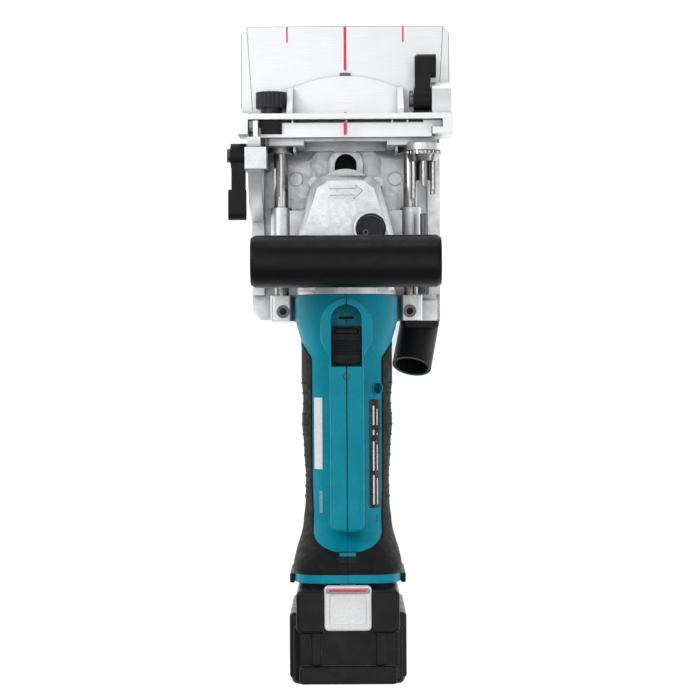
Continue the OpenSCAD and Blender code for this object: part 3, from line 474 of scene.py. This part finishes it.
def skin(name, rings, closed_ends=True):
    """A closed skin over rings that all have the same number of points."""
    bm = bmesh.new()
    rows = [[bm.verts.new(point) for point in ring] for ring in rings]
    count = len(rows[0])
    for row, following in zip(rows, rows[1:]):
        for i in range(count):
            j = (i + 1) % count
            bm.faces.new((row[i], row[j], following[j], following[i]))
    if closed_ends:
        bm.faces.new(rows[0])
        bm.faces.new(rows[-1])
    return from_bmesh(name, bm)


def ring_plate(name, outer, inner, low, high):
    """A flat ring between two outlines that have the same number of points."""
    rings = [[(x, y, z) for x, y in outline] for outline, z in
             ((outer, low), (outer, high), (inner, high), (inner, low), (outer, low))]
    return skin(name, rings, False)


def stroke(points, width, low, high):
    """Pieces of a line through (x, y) points, with round ends."""
    parts, r = [], width / 2
    for (x0, y0), (x1, y1) in zip(points, points[1:]):
        turn = math.degrees(math.atan2(y1 - y0, x1 - x0))
        outline = arc(x1, y1, r, turn - 90, turn + 90, 6) + arc(x0, y0, r, turn + 90, turn + 270, 6)
        parts.append(prism("stroke", outline, low, high))
    return parts


# ---- Motor housing: two half shells, their spine, the rubber grips and the flare ----

GRIP_FRONT, GRIP_BACK = GRIP_Y[1] + 0.002, GRIP_Y[0] - 0.002
TEAL_END = GRIP_BACK - 0.012                       # rear end of the teal middle
RIM_FRONT = HOUSING_Y[0] + 0.005                   # the teal rim ahead of the battery
RIM_HALF = (span("motor_housing_right", 0)[1], AXIS_Z - span("motor_housing_left", 2)[0])
AROUND = 72                                        # faces round half a section
SEAM = 0.00012                                     # half of the gap between the two halves


def eased(y, start, end):
    """0 before start and 1 after end, with a soft turn at both; y may fall or rise."""
    t = min(1.0, max(0.0, (y - start) / (end - start)))
    return t * t * (3 - 2 * t)


def mixed(a, b, t):
    return a + (b - a) * t


# Half width of the grip along its length: a swell for the thumb, then a waist for the palm.
GRIP_SHAPE = ((-0.092, 0.0282), (-0.108, 0.0283), (-0.123, 0.0273), (-0.136, 0.0281),
              (-0.153, 0.0269), (-0.171, 0.0259), (-0.186, 0.0262), (-0.199, 0.0274))


def grip_half_width(y):
    if y >= GRIP_SHAPE[0][0]:
        return GRIP_SHAPE[0][1]
    for (y0, w0), (y1, w1) in zip(GRIP_SHAPE, GRIP_SHAPE[1:]):
        if y >= y1:
            return mixed(w0, w1, eased(y, y0, y1))
    return GRIP_SHAPE[-1][1]


def section(y):
    """Half width, half height and squareness of the housing at a place along its axis."""
    case = FAN_CASE_R - 0.0006 * eased(y, HOUSING_Y[1] - 0.004, HOUSING_Y[1])
    along = min(1.0, max(0.0, (GRIP_FRONT + 0.0195 - y) / 0.0165))
    taper = mixed(along, eased(along, 0, 1), 0.4)
    wide = mixed(case, grip_half_width(y) - 0.0005, taper)
    tall = mixed(case, GRIP_R - 0.0005, taper)
    flare = eased(y, GRIP_BACK + 0.006, RIM_FRONT + 0.002)
    squareness = mixed(2.0, 5.0, flare ** 0.7)
    return mixed(wide, RIM_HALF[0], flare), mixed(tall, RIM_HALF[1], flare), squareness


SAMPLES = 160
section_tables = {}


def table_at(y):
    """Half of the section at y, from top to bottom: points (x, z), and the length of skin up to each."""
    key = round(y, 6)
    if key not in section_tables:
        half_w, half_h, square = section(y)
        points = []
        for i in range(SAMPLES + 1):
            a = math.pi / 2 * (1 + math.sin(math.pi * (i / SAMPLES - 0.5)))
            x = half_w * abs(math.sin(a)) ** (2 / square)
            z = half_h * abs(math.cos(a)) ** (2 / square)
            points.append(Vector((x, math.copysign(z, math.cos(a)))))
        lengths = [0.0]
        for before, after in zip(points, points[1:]):
            lengths.append(lengths[-1] + (after - before).length)
        section_tables[key] = points, lengths
    return section_tables[key]


def on_section(y, part, inset=0.0, side=1):
    """A point of the housing's skin: part 0 is the top, 1 the bottom, by length round the skin."""
    points, lengths = table_at(y)
    goal = min(1.0, max(0.0, part)) * lengths[-1]
    i = next(k for k in range(1, SAMPLES + 1) if lengths[k] >= goal - 1e-12)
    before, after = points[i - 1], points[i]
    along = after - before
    t = (goal - lengths[i - 1]) / max(along.length, 1e-9)
    inward = Vector((along.y, -along.x)).normalized() if along.length else Vector((0, 0))
    spot = before + along * t + inward * inset
    return Vector((side * max(spot.x, SEAM), y, AXIS_Z + spot.y))


def part_at(y, x):
    """How far round the skin the top of the housing is x wide."""
    points, lengths = table_at(y)
    i = next((k for k in range(1, SAMPLES // 2) if points[k].x >= x), SAMPLES // 2)
    width = points[i].x - points[i - 1].x
    t = min(1.0, max(0.0, (x - points[i - 1].x) / max(width, 1e-9)))
    return (lengths[i - 1] + t * (lengths[i] - lengths[i - 1])) / lengths[-1]


def stations(start, end, step=0.0025):
    count = max(2, round(abs(end - start) / step))
    return [start + (end - start) * i / count for i in range(count + 1)]


def shell_half(side):
    rings = []
    for y in stations(HOUSING_Y[1], HOUSING_Y[0]):
        wall = mixed(0.0041, 0.0024, eased(y, GRIP_FRONT + 0.012, GRIP_FRONT))
        outer = [on_section(y, i / AROUND, 0, side) for i in range(AROUND + 1)]
        inner = [on_section(y, i / AROUND, wall, side) for i in range(AROUND, -1, -1)]
        rings.append(outer + inner)
    return skin("shell", rings)


FLOOR_Z = SLIDER_TOP - 0.0052                      # floor of the recess that the switch slides on
POCKET_W = 0.0093                                  # half width of that recess
POCKET_Y = (SLIDER_FRONT - 0.0246, SLIDER_FRONT + 0.0131)
ARCH_Y, ARCH_R = SLIDER_FRONT + 0.0013, 0.0156     # the arch of the spine round the switch
ARCH_TIP = ARCH_Y + ARCH_R
SPINE_W = 0.0102                                   # half width of the spine behind the arch
SPINE_SEAM = 0.00028                               # half of the gap between its halves
SPINE_BACK = GRIP_BACK + 0.0012
SPINE_CORNER = 0.0036                              # radius of its rear corners seen from above
SPINE_EDGE = 0.0014                                # radius along its upper edge
SPINE_SINK = 0.0016                                # how far its walls reach into the housing
SHOULDER_LIP = 0.0003                              # small round along the seam


def pocket_tools():
    """What the switch needs cut out of the shell: its recess and the slot of its stem."""
    w, (back, front) = POCKET_W, POCKET_Y
    outline = arc(0, front - w, w, 0, 180, 16)
    outline += [(-w, back + 0.001), (0.001 - w, back), (w - 0.001, back), (w, back + 0.001)]
    slot_y = (SLIDER_FRONT - 0.0195, SLIDER_FRONT - 0.0005)
    return (prism("recess", outline, FLOOR_Z, SPINE_TOP + 0.01),
            slab("slot", (-0.0032, 0.0032), slot_y, (FLOOR_Z - 0.006, FLOOR_Z + 0.0002), 0.001, 0))


def spine_span(y):
    """Inner and outer edge of the right half of the raised spine: an arch round the switch, a
    narrow waist and round rear corners; the inner edge goes round the recess of the switch."""
    if y > ARCH_Y:
        outer = math.sqrt(max(0.0, ARCH_R ** 2 - (y - ARCH_Y) ** 2))
    else:
        outer = mixed(ARCH_R, SPINE_W, eased(y, ARCH_Y - 0.008, ARCH_Y - 0.021))
        drop = max(0.0, SPINE_CORNER - (y - SPINE_BACK))
        outer -= SPINE_CORNER - math.sqrt(max(0.0, SPINE_CORNER ** 2 - drop ** 2))
    inner = SPINE_SEAM
    centre = POCKET_Y[1] - POCKET_W
    if POCKET_Y[0] < y <= centre:
        inner = POCKET_W
    elif centre < y < POCKET_Y[1]:
        inner = max(SPINE_SEAM, math.sqrt(POCKET_W ** 2 - (y - centre) ** 2))
    return inner, max(outer, inner + 0.0006)


def skin_height(y, x):
    """Height of the housing's skin at a place seen from above."""
    half_w, half_h, square = section(y)
    return AXIS_Z + half_h * (1 - min(1.0, x / half_w) ** square) ** (1 / square)


def spine_half(side):
    """The spine swept along the housing: steep sides down into its skin, a round upper edge and a
    flat top."""
    top, back = SPINE_TOP - 0.0001, SPINE_BACK
    path = [back + SPINE_CORNER * (1 - math.cos(math.pi / 2 * k / 8)) for k in range(8)]
    path += stations(back + SPINE_CORNER, POCKET_Y[0], 0.003)
    path += stations(POCKET_Y[0] + 0.00004, ARCH_Y, 0.0015)
    path += [ARCH_Y + ARCH_R * math.sin(math.pi / 2 * k / 26) for k in range(1, 27)]
    rings = []
    for y in path:
        inner, outer = spine_span(y)
        edge = min(SPINE_EDGE, (outer - inner) / 2)
        lip = min(SHOULDER_LIP, edge)
        drop = 0.0012 * (1 - eased(y, back, back + 0.0015))
        drop += 0.0006 * eased(y, ARCH_TIP - 0.0008, ARCH_TIP)
        foot = min(FLOOR_Z - 0.0005, skin_height(y, inner) - SPINE_SINK)
        profile = [(inner, foot), (inner, top - lip - drop), (inner + lip, top - drop)]
        profile += [(outer - edge + edge * math.sin(a), top - drop - edge + edge * math.cos(a))
                    for a in (math.radians(d) for d in range(0, 91, 18))]
        profile.append((outer + 0.0004, skin_height(y, outer) - SPINE_SINK))
        rings.append([(side * x, y, z) for x, z in profile])
    return skin("spine", rings)


STRIP = 60                                         # faces across one rubber strip
STRIP_EDGE = 0.0214                                # how far from the middle the rubber starts
REAR_EDGE = 0.0208                                 # the same at the rear of the grip


def rubber_strip(side):
    """The overmould on one side: edges swept in plan, its skin a little proud of the teal."""
    front, back = GRIP_FRONT + 0.0062, RIM_FRONT + 0.0002
    rings = []
    for y in stations(front, back, 0.002):
        edge = mixed(STRIP_EDGE, 0.0286, min(1.0, max(0.0, (y - front + 0.0105) / 0.0105)))
        edge = mixed(edge, REAR_EDGE, eased(y, GRIP_BACK + 0.03, GRIP_BACK + 0.01))
        if y < GRIP_BACK:
            t = min(1.0, (GRIP_BACK - y) / (GRIP_BACK - TEAL_END))
            edge = REAR_EDGE * math.sqrt(max(0.0, 1 - t * t))
        first = part_at(y, max(edge, SEAM))
        parts = [first + (1 - 2 * first) * i / STRIP for i in range(STRIP + 1)]
        proud = -0.0007 if front - 0.002 > y > back + 0.001 else -0.0002
        low_edge = mixed(0.0003, proud, eased(y, TEAL_END + 0.001, TEAL_END - 0.001))
        outer = [on_section(y, part, mixed(low_edge, proud, min(1, i, STRIP - i)), side)
                 for i, part in enumerate(parts)]
        inner = [on_section(y, part, 0.0012, side) for part in reversed(parts)]
        rings.append(outer + inner)
    return skin("rubber", rings)


def grip_grooves(side):
    """Fine raised ribs that run round the rubber where the fingers close."""
    parts = []
    for y in stations(GRIP_FRONT - 0.02, GRIP_BACK + 0.02, 0.0062):
        rings = []
        for i in range(25):
            centre = on_section(y, 0.345 + 0.31 * i / 24, -0.0007, side)
            out = (centre - Vector((0, y, AXIS_Z))).normalized()
            size = 0.00045 * math.sin(math.pi * min(1.0, (i + 0.5) / 4, (24.5 - i) / 4) / 2)
            rings.append([centre + out * size * math.cos(b) + Vector((0, 1.6 * size * math.sin(b), 0))
                          for b in (k * TAU / 6 for k in range(6))])
        parts.append(skin("rib", rings))
    return joined("ribs", parts)


WELL_Y, WELL_X = GRIP_FRONT - 0.0232, 0.0188       # the deep screw hole in the right shell


def well_skin(profile):
    """A turned shape square to the skin at the screw hole, through (radius, lift) rings."""
    spot = on_section(WELL_Y, part_at(WELL_Y, WELL_X))
    out = (spot - Vector((0, WELL_Y, AXIS_Z - 0.004))).normalized()
    along = Vector((0, 1, 0))
    across = out.cross(along)
    turns = [k * TAU / 28 for k in range(28)]
    return skin("well", [[spot + out * lift + (along * math.cos(a) + across * math.sin(a)) * r
                          for a in turns] for r, lift in profile])


def motor_housing():
    for side, hand in SIDES:
        tools = pocket_tools()
        if side == 1:
            tools += (well_skin(((0.0034, 0.003), (0.0034, -0.0026))),)
        shell = joined("housing_" + hand, [carved(shell_half(side), *tools)])
        on_unit(shell, "teal_plastic", "teal_plastic", nodes=("motor_housing_" + hand,), smooth=28,
                flat=False)
        spine = joined("housing_spine_" + hand, [spine_half(side)])
        on_unit(spine, "teal_plastic", "teal_plastic", smooth=40)
        rubber = joined("grip_" + hand, [rubber_strip(side)])
        on_unit(rubber, "grip_rubber", "grip_rubber", nodes=("rubber_grip_" + hand,), smooth=50,
                flat=False)
        ribs = joined("grip_ribs_" + hand, [grip_grooves(side)])
        on_unit(ribs, "grip_rubber", "grip_rubber", smooth=60, flat=False)


def decal(name, y_range, x_range, side, lift, columns=6):
    """A thin patch that follows the housing's skin."""
    rings = []
    for y in stations(*y_range, 0.003):
        start, end = part_at(y, x_range[0]), part_at(y, x_range[1])
        parts = [mixed(start, end, i / columns) for i in range(columns + 1)]
        outer = [on_section(y, part, -lift, side) for part in parts]
        inner = [on_section(y, part, 0.0002, side) for part in reversed(parts)]
        rings.append(outer + inner)
    return skin(name, rings)


BAR_LIFT = 0.0002
LABEL_BARS = ((-0.126, -0.138), (-0.141, -0.144), (-0.148, -0.166), (-0.169, -0.187))


def blank_prints():
    """A blank rating label with plain bars on the right, and two plain marks on the left."""
    label = decal("rating_label", (-0.122, -0.1892), (0.0136, 0.0204), 1, 0.00012)
    on_unit(label, "label_black")
    for i, (start, end) in enumerate(LABEL_BARS):
        bar = decal(f"rating_bar_{i}", (start, end), (0.0158, 0.0168), 1, BAR_LIFT, 2)
        on_unit(bar, "white_ink", "latch_plastic")
        line = decal(f"rating_line_{i}", (start - 0.002, end), (0.0182, 0.0188), 1, BAR_LIFT, 2)
        on_unit(line, "white_ink", "latch_plastic")
    mark = decal("plain_mark", (-0.1208, -0.165), (0.0152, 0.0201), -1, BAR_LIFT, 4)
    on_unit(mark, "white_ink", "latch_plastic")
    small = decal("small_mark", (-0.1785, -0.192), (0.0152, 0.0172), -1, BAR_LIFT, 3)
    on_unit(small, "pale_ink", "latch_plastic")


def housing_details():
    # small ring pressed into the spine behind the switch
    outer, inner = (circle(0, POCKET_Y[0] - 0.006, r, 28) for r in (0.0021, 0.0016))
    ring = ring_plate("symbol", outer, inner, SPINE_TOP - 0.0004, SPINE_TOP - 0.00002)
    on_unit(joined("spine_ring", [ring]), "label_black")
    # painted shadow: dark sheets inside the seam between the halves
    under_spine = (AXIS_Z + 0.02, SPINE_TOP - 0.001)
    under_shell = (AXIS_Z + 0.02, AXIS_Z + GRIP_R - 0.0014)
    for name, y, z in (("", (SPINE_BACK + 0.002, POCKET_Y[0] - 0.001), under_spine),
                       ("_front", (POCKET_Y[1] + 0.0006, ARCH_TIP - 0.0012), under_spine),
                       ("_rear", (GRIP_BACK - 0.008, SPINE_BACK + 0.003), under_shell)):
        on_unit(slab("seam_shadow" + name, (-0.0005, 0.0005), y, z, 0.0002, 0), "gap_shade")
    # slot in the black flare, drawn as a dark patch of painted shade, and the teal bar inside it
    slot_y = (RIM_FRONT + 0.0073, RIM_FRONT + 0.0138)
    bar_y = (RIM_FRONT + 0.0112, RIM_FRONT + 0.0132)
    for side, hand in SIDES:
        slot = decal("flare_slot_" + hand, slot_y, (0, 0.0053), side, 0.00092, 4)
        on_unit(slot, "gap_shade")
        bar = decal("flare_bar_" + hand, bar_y, (0, 0.0049), side, 0.00104, 4)
        on_unit(bar, "teal_plastic", "teal_plastic")
    # rim blocks beside the battery
    y, z = (HOUSING_Y[0] - 0.0012, RIM_FRONT - 0.0005), (AXIS_Z - 0.03, AXIS_Z + 0.03)
    for side, hand in SIDES:
        x = sorted((side * (RIM_HALF[0] - 0.0004), side * (RIM_HALF[0] + 0.0026)))
        on_unit(slab("rim_block_" + hand, x, y, z, 0.0006, 0.0003), "black_plastic")


def switch():
    """The slide button with a round rear edge and finger ridges, and its stem and link inside."""
    back, front = SLIDER_FRONT - 0.0238, SLIDER_FRONT
    low, top = FLOOR_Z + 0.0002, SLIDER_TOP - 0.0013
    rear = [(0.009 * math.sin(a), back + 0.0022 * (1 - math.cos(a)) ** 0.8)
            for a in (math.radians(d) for d in range(-90, 91, 15))]
    outline = rear + [(0.009, front - 0.0008), (0.0082, front), (-0.0082, front),
                      (-0.009, front - 0.0008)]
    parts = [bevelled(prism("button", outline, low, top), 0.0006, 3)]
    wide = (-0.0072, 0.0072)
    for i in range(5):
        y = front - 0.009 - 0.0019 * i
        parts.append(slab("ridge", wide, (y - 0.0005, y + 0.0005), (top - 0.0004, top + 0.00065),
                          0.0003, 0.0002))
    parts.append(slab("brow", wide, (front - 0.0045, front - 0.0012), (top - 0.0008, top + 0.0011),
                      0.0012, 0.0006))
    parts.append(slab("stem", (-0.0027, 0.0027), (front - 0.0185, front - 0.0085),
                      (low - 0.0034, low + 0.0004), 0.0006, 0))
    parts.append(slab("link", (-0.0025, 0.0025), (SLIDER_BACK, front - 0.0086),
                      (low - 0.0046, low - 0.0032), 0.0006, 0))
    show(joined("switch_button", parts), "black_plastic", "switch", "black_plastic",
         ("switch_slider",))


def recess_details():
    """A dark slot drawn as a sheet of painted shade, a cross bar and two ribs on the floor of the recess,
    ahead of the button.
    """
    front = SLIDER_FRONT
    slot = slab("recess_slot", (-0.0047, 0.0047), (front + 0.0046, front + 0.0062),
                (FLOOR_Z - 0.0004, FLOOR_Z + 0.0001), 0.0004, 0)
    on_unit(slot, "gap_shade")
    parts = [slab("rib", (x - 0.0004, x + 0.0004), (front + 0.0082, front + 0.0125),
                  (FLOOR_Z - 0.0006, FLOOR_Z + 0.0014), 0.0003, 0.0002) for x in (-0.0016, 0.0016)]
    parts.append(slab("bar", (-0.0086, 0.0086), (front + 0.0074, front + 0.0083),
                      (FLOOR_Z - 0.0006, FLOOR_Z + 0.001), 0.0004, 0.0002))
    on_unit(joined("recess_ribs", parts), "teal_plastic", "teal_plastic")


def screw_well():
    """The rim and the floor of the deep screw hole in the right shell; the floor is a darker teal, painted
    shade at the bottom of the hole.
    """
    rim = ((0.0036, -0.002), (0.0042, -0.001), (0.0042, 0.0004), (0.0039, 0.0008),
           (0.0035, 0.0008), (0.0033, 0.0004), (0.0033, -0.002), (0.0036, -0.002))
    floor_rings = ((0.0033, -0.0024), (0.0033, -0.0019), (0.0014, -0.0019), (0.0011, -0.0022))
    for name, profile, material in (("rim", rim, "teal_plastic"), ("floor", floor_rings, "shaded_teal")):
        on_unit(joined("screw_well_" + name, [well_skin(profile)]), material, "teal_plastic",
                smooth=40)


# ---- Battery ----

LATCH_BACK, LATCH_FRONT = LATCH_Y[0] + 0.0002, LATCH_Y[1]


def battery_case():
    x, (back, front), top = BATTERY_X, BATTERY_Y, BATTERY_TOP
    neck = span("battery_case_front", 0)[1] - 0.0042
    shoulder_z = top - 0.011
    block = slab("block", (-neck, neck), (LATCH_Y[0] - 0.0015, front), (0.0006, top), 0.004, 0.0022)
    latch_place = slab("cut", (-0.0147, 0.0147), (LATCH_Y[0] - 0.0034, front + 0.01),
                       (top - 0.0085, top + 0.01), 0.0015, 0)
    hook_place = slab("cut", (-0.0054, 0.0054), (front - 0.0054, front + 0.01),
                      (top - 0.0154, top), 0.0004, 0)
    block = carved(block, latch_place, hook_place)
    rear = slab("rear", (-x + 0.001, x - 0.001), (back, LATCH_Y[0] + 0.004), (0, top - 0.006),
                0.0065, 0.0035, "y")
    parts = [block, rear]
    for side, _ in SIDES:
        # a raised wing, a rib behind the latch and the step between block and wing
        parts.append(slab("wing", sorted((side * (x - 0.0085), side * x)),
                          (back + 0.0035, LATCH_Y[0] + 0.0105), (0.004, shoulder_z + 0.003),
                          0.0025, 0.0018))
        parts.append(slab("rib", sorted((side * 0.0165, side * 0.0225)),
                          (back + 0.012, LATCH_Y[0] + 0.001), (top - 0.012, top - 0.0028),
                          0.0012, 0.001))
        parts.append(slab("step", sorted((side * (neck - 0.004), side * (x - 0.002))),
                          (LATCH_Y[0] + 0.002, LATCH_Y[0] + 0.0095), (0.006, shoulder_z),
                          0.0015, 0.001))
    parts.append(slab("tail", (-0.0295, 0.0295), (back + 0.0005, back + 0.0115),
                      (top - 0.012, top - 0.0025), 0.002, 0.0014))
    show(joined("battery_case", parts), "battery_plastic", "battery", "battery_plastic",
         ("battery_case_front", "battery_case_rear"), 30)
    # the vents are dark strips of painted shade standing for the holes
    vents = [slab("vent", (-0.022 + i * 0.004, -0.0202 + i * 0.004), (back + 0.0022, back + 0.0032),
                  (top - 0.0032, top - 0.0024), 0.0002, 0) for i in range(11)]
    show(joined("battery_vents", vents), "gap_shade", "battery", "battery_plastic")


def battery_latch():
    top, front = BATTERY_TOP, BATTERY_Y[1]
    pad = slab("pad", (-0.0144, 0.0144), (LATCH_BACK, LATCH_FRONT), (top - 0.0082, top - 0.0003),
               0.0028, 0.0012)
    dish = slab("cut", (-0.0112, 0.0112), (LATCH_BACK + 0.004, LATCH_FRONT - 0.0045),
                (top - 0.0014, top + 0.002), 0.0022, 0)
    hook = slab("hook", (-0.005, 0.005), (front - 0.002, front + 0.0022),
                (top - 0.015, top - 0.0065), 0.0006, 0.0003)
    show(joined("battery_latch_button", [carved(pad, dish), hook]), "latch_plastic",
         "battery_latch", "latch_plastic", ("battery_latch",), 30)
    band = slab("latch_band", (-0.0134, 0.0134), (LATCH_FRONT - 0.0046, LATCH_FRONT - 0.0012),
                (top - 0.0008, top - 0.00026), 0.0012, 0)
    show(band, "pale_grey", "battery_latch", "latch_plastic")
    stripe = slab("latch_stripe", (-0.0112, 0.0112), (LATCH_FRONT - 0.0035, LATCH_FRONT - 0.002),
                  (top - 0.0008, top - 0.00022), 0.0004, 0)
    show(stripe, "red_ink", "battery_latch", "latch_plastic")


# ---- Gear housing and screw heads ----

ARROW = ((-0.010, 0.0075), (0.0065, 0.0078), (0.0062, 0.0098), (0.0104, 0.0066), (0.0052, 0.0014),
         (0.0050, 0.0038), (-0.0098, 0.0036))


def gear_housing_details():
    """The direction arrow, drawn as grey lines of painted shade along its moulded edges, and the lip and
    dark groove round the shaft lock's button, the groove a dark ring of painted shade.
    """
    arrow = stroke(ARROW, 0.0003, GEAR_TOP - 0.0006, GEAR_TOP + 0.00025)
    on_unit(joined("direction_arrow", arrow), "grey_line_shade", "cast_aluminium")
    outline = arc(LOCK_X, LOCK_Y, 0.0107, 35, 205, 24) + arc(LOCK_X, LOCK_Y, 0.0094, 205, 35, 24)
    lip = bevelled(prism("lip", outline, GEAR_TOP - 0.001, GEAR_TOP + 0.0011), 0.0004, 2)
    on_unit(joined("shaft_lock_lip", [lip]), "cast_aluminium", "cast_aluminium")
    outer, inner = (circle(LOCK_X, LOCK_Y, r, 40) for r in (0.0092, 0.0083))
    well = ring_plate("shaft_lock_well", outer, inner, GEAR_TOP - 0.0008, GEAR_TOP + 0.00012)
    on_unit(well, "gap_shade", "cast_aluminium")


def screw_heads():
    """Sockets and rims of the rod screws in the base, the sockets dark discs of painted shade, and the
    ring in the shaft lock's button.
    """
    (x0, x1), (y0, y1), (_, top) = (span("rod_screws", axis) for axis in range(3))
    y, r = (y0 + y1) / 2, (y1 - y0) / 2
    for x, hand in ((x0 + r, "left"), (x1 - r, "right")):
        socket = prism("socket", circle(x, y, r * 0.72, 28), top - 0.001, top + 0.00012)
        show(joined("rod_screw_socket_" + hand, [socket]), "gap_shade", "base", "dark_steel")
        outer, inner = (circle(x, y, r * share, 28) for share in (1.35, 1.02))
        rim = ring_plate("rod_screw_rim_" + hand, outer, inner, top - 0.0008, top + 0.0002)
        show(rim, "dark_steel", "base", "dark_steel")
    outer, inner = (circle(LOCK_X - 0.0032, LOCK_Y - 0.002, r, 24) for r in (0.0017, 0.0011))
    ring = ring_plate("lock_button_ring", outer, inner, LOCK_TOP - 0.0004, LOCK_TOP + 0.0003)
    show(ring, "dark_steel", "shaft_lock", "black_plastic")


# ---- Fence and guide marks ----

ARC_TOP_Y, ARC_R = 0.0834, 0.0545                  # the thin arc on the fence's plate, drawn as a line of painted shade


def stripe(name, x, y, z, body="fence"):
    """A printed red line."""
    line = slab(name, x, y, (z - 0.0004, z + 0.00006), 0.0001, 0)
    show(line, "red_ink", body, "machined_aluminium")


def fence_shade_line(name, points, width, ink):
    """A fine line of painted shade along an edge on the fence's plate."""
    line = joined(name, stroke(points, width, PLATE_Z - 0.0003, PLATE_Z + 0.00005))
    show(line, ink, "fence", "machined_aluminium")


def fence_marks():
    stripe("centre_line", (-0.0009, 0.0009), (FENCE_FRONT - 0.0284, FENCE_FRONT - 0.0004), PLATE_Z)
    for side, hand in SIDES:
        stripe("side_line_" + hand, sorted((side * 0.0365, side * 0.0375)),
               (FENCE_FRONT - 0.0104, FENCE_FRONT - 0.0004), PLATE_Z)
    for side, hand in SIDES:
        fence_shade_line("score_line_" + hand, ((side * (FENCE_SIDE - 0.0042), FENCE_FRONT - 0.0005),
                                      (side * (FENCE_SIDE - 0.0078), 0.0565)), 0.00035, "grey_line_shade")
        edge = side * (FENCE_SIDE - 0.0006)
        fence_shade_line("side_edge_line_" + hand, ((edge, FENCE_FRONT - 0.005), (edge, 0.063)), 0.0004,
               "pale_grey")
    ridge = arc(0, ARC_TOP_Y - ARC_R, ARC_R, 90 + 33, 90 - 33, 26)
    fence_shade_line("arc_line", ridge, 0.0003, "pale_grey")
    notch = slab("notch_block", (-0.0034, 0.0034), (0.0823, 0.0855),
                 (PLATE_Z - 0.0003, PLATE_Z + 0.0009), 0.0002, 0.0002)
    show(notch, "dark_steel", "fence", "machined_aluminium")
    edge_y, edge_x = FENCE_FRONT - 0.0003, FENCE_SIDE - 0.005
    fence_shade_line("edge_line", ((-edge_x, edge_y), (edge_x, edge_y)), 0.0003, "grey_line_shade")
    stripe("zero_mark", (-0.0008, 0.0008), (0.0588, 0.0604), PLATE_Z + 0.0012)
    stripe("guide_line", (-0.001, 0.001), (GUIDE_TOP_Y[0] + 0.0004, GUIDE_TOP_Y[1]), GUIDE_TOP_Z,
           "angle_guide")


# ---- Every remaining CAD node keeps its shape and gets softened edges ----

SOFT = {"base_casting": 0.0004, "angle_guide": 0.0004, "fence": 0.0004, "gear_housing": 0.0006,
        "front_handle": 0.0005, "angle_clamp_block": 0.0004, "blade_cover": 0.0003,
        "bearing_box": 0.0003, "dust_nozzle": 0.0003, "depth_turret": 0.0002, "height_rack": 0.0002,
        "angle_lock_lever": 0.0005, "fence_lock_lever": 0.0005, "fence_lock_shoe": 0.0004,
        "height_knob": 0.0002, "shaft_lock_button": 0.0004}
DONE = {"return_springs", "switch_slider", "motor_housing_left", "motor_housing_right",
        "rubber_grip_left", "rubber_grip_right", "battery_case_front", "battery_case_rear",
        "battery_latch"}
OTHER_MATERIAL = {"shaft_lock_button": "worn_plastic", "height_knob": "worn_plastic",
                  "fence_lock_pin": "dark_steel"}


def other_nodes():
    for part in frame["record"]["subparts"]:
        node = part["node"]
        if node not in DONE:
            soften(node, OTHER_MATERIAL.get(node, part["material_slot"]), SOFT.get(node, 0.0))


def return_springs():
    """The return springs as a softened copy of their CAD node, with a mesh of their own."""
    springs = soften("return_springs", "bright_steel")
    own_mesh(springs)


# ---- Floor, lights and camera ----

MIDDLE_Y = -0.09                                    # middle of the tool's length, where lamps aim
# name, place, size and power of each area lamp
LAMPS = (("overhead", (0, MIDDLE_Y, 2.0), 1.3, 6.6), ("key", (-0.75, 0.35, 1.0), 0.5, 4.5),
         ("fill", (0.9, -0.3, 0.8), 0.7, 2.5), ("front", (0.1, 1.2, 0.6), 0.5, 2.5))


def floor():
    plane = link("floor", bpy.data.meshes.new("floor"))
    bm = bmesh.new()
    bmesh.ops.create_grid(bm, x_segments=1, y_segments=1, size=3)
    bm.to_mesh(plane.data)
    bm.free()
    plane.location.z = cad_box[0][2] - 0.0002
    s = Shader("floor", 0.6, 0.0)
    pale = s.blend(s.scaled(s.noise(0.3, 2), 0, 1), (0.93, 0.93, 0.93), (0.95, 0.95, 0.95))
    s.bsdf.inputs["Emission Color"].default_value = (1, 1, 1, 1)
    s.bsdf.inputs["Emission Strength"].default_value = 0.66
    plane.data.materials.append(s.finish(pale))


def lights():
    world = bpy.data.worlds.new("studio")
    world.use_nodes = True
    background = world.node_tree.nodes["Background"]
    background.inputs["Color"].default_value = (0.97, 0.985, 1.0, 1)
    background.inputs["Strength"].default_value = 0.3
    bpy.context.scene.world = world
    for name, place, size, power in LAMPS:
        light = bpy.data.lights.new(name, "AREA")
        light.size = size
        light.energy = power
        lamp = bpy.data.objects.new(name, light)
        lamp.location = place
        aim = Vector((0, MIDDLE_Y, 0.05)) - lamp.location
        lamp.rotation_euler = aim.to_track_quat("-Z", "Y").to_euler()
        bpy.context.scene.collection.objects.link(lamp)
    bpy.context.scene.view_settings.view_transform = "Standard"


CAMERA_SHIFT = (0.0021, -0.0022)                    # off the middle of the tool, in x and y
CAMERA_HEIGHT = 1.4


def camera():
    """Straight down on the tool, which lies upright in the picture."""
    data = bpy.data.cameras.new("camera")
    data.lens = 110
    data.sensor_width = 36
    view = bpy.data.objects.new("camera", data)
    middle = (cad_box[0][1] + cad_box[1][1]) / 2
    view.location = (CAMERA_SHIFT[0], middle + CAMERA_SHIFT[1], CAMERA_HEIGHT)
    view.rotation_euler = (0, 0, math.radians(-0.33))
    bpy.context.scene.collection.objects.link(view)
    bpy.context.scene.camera = view


motor_housing()
blank_prints()
housing_details()
switch()
recess_details()
screw_well()
battery_case()
battery_latch()
gear_housing_details()
screw_heads()
fence_marks()
other_nodes()
return_springs()
floor()
lights()
camera()
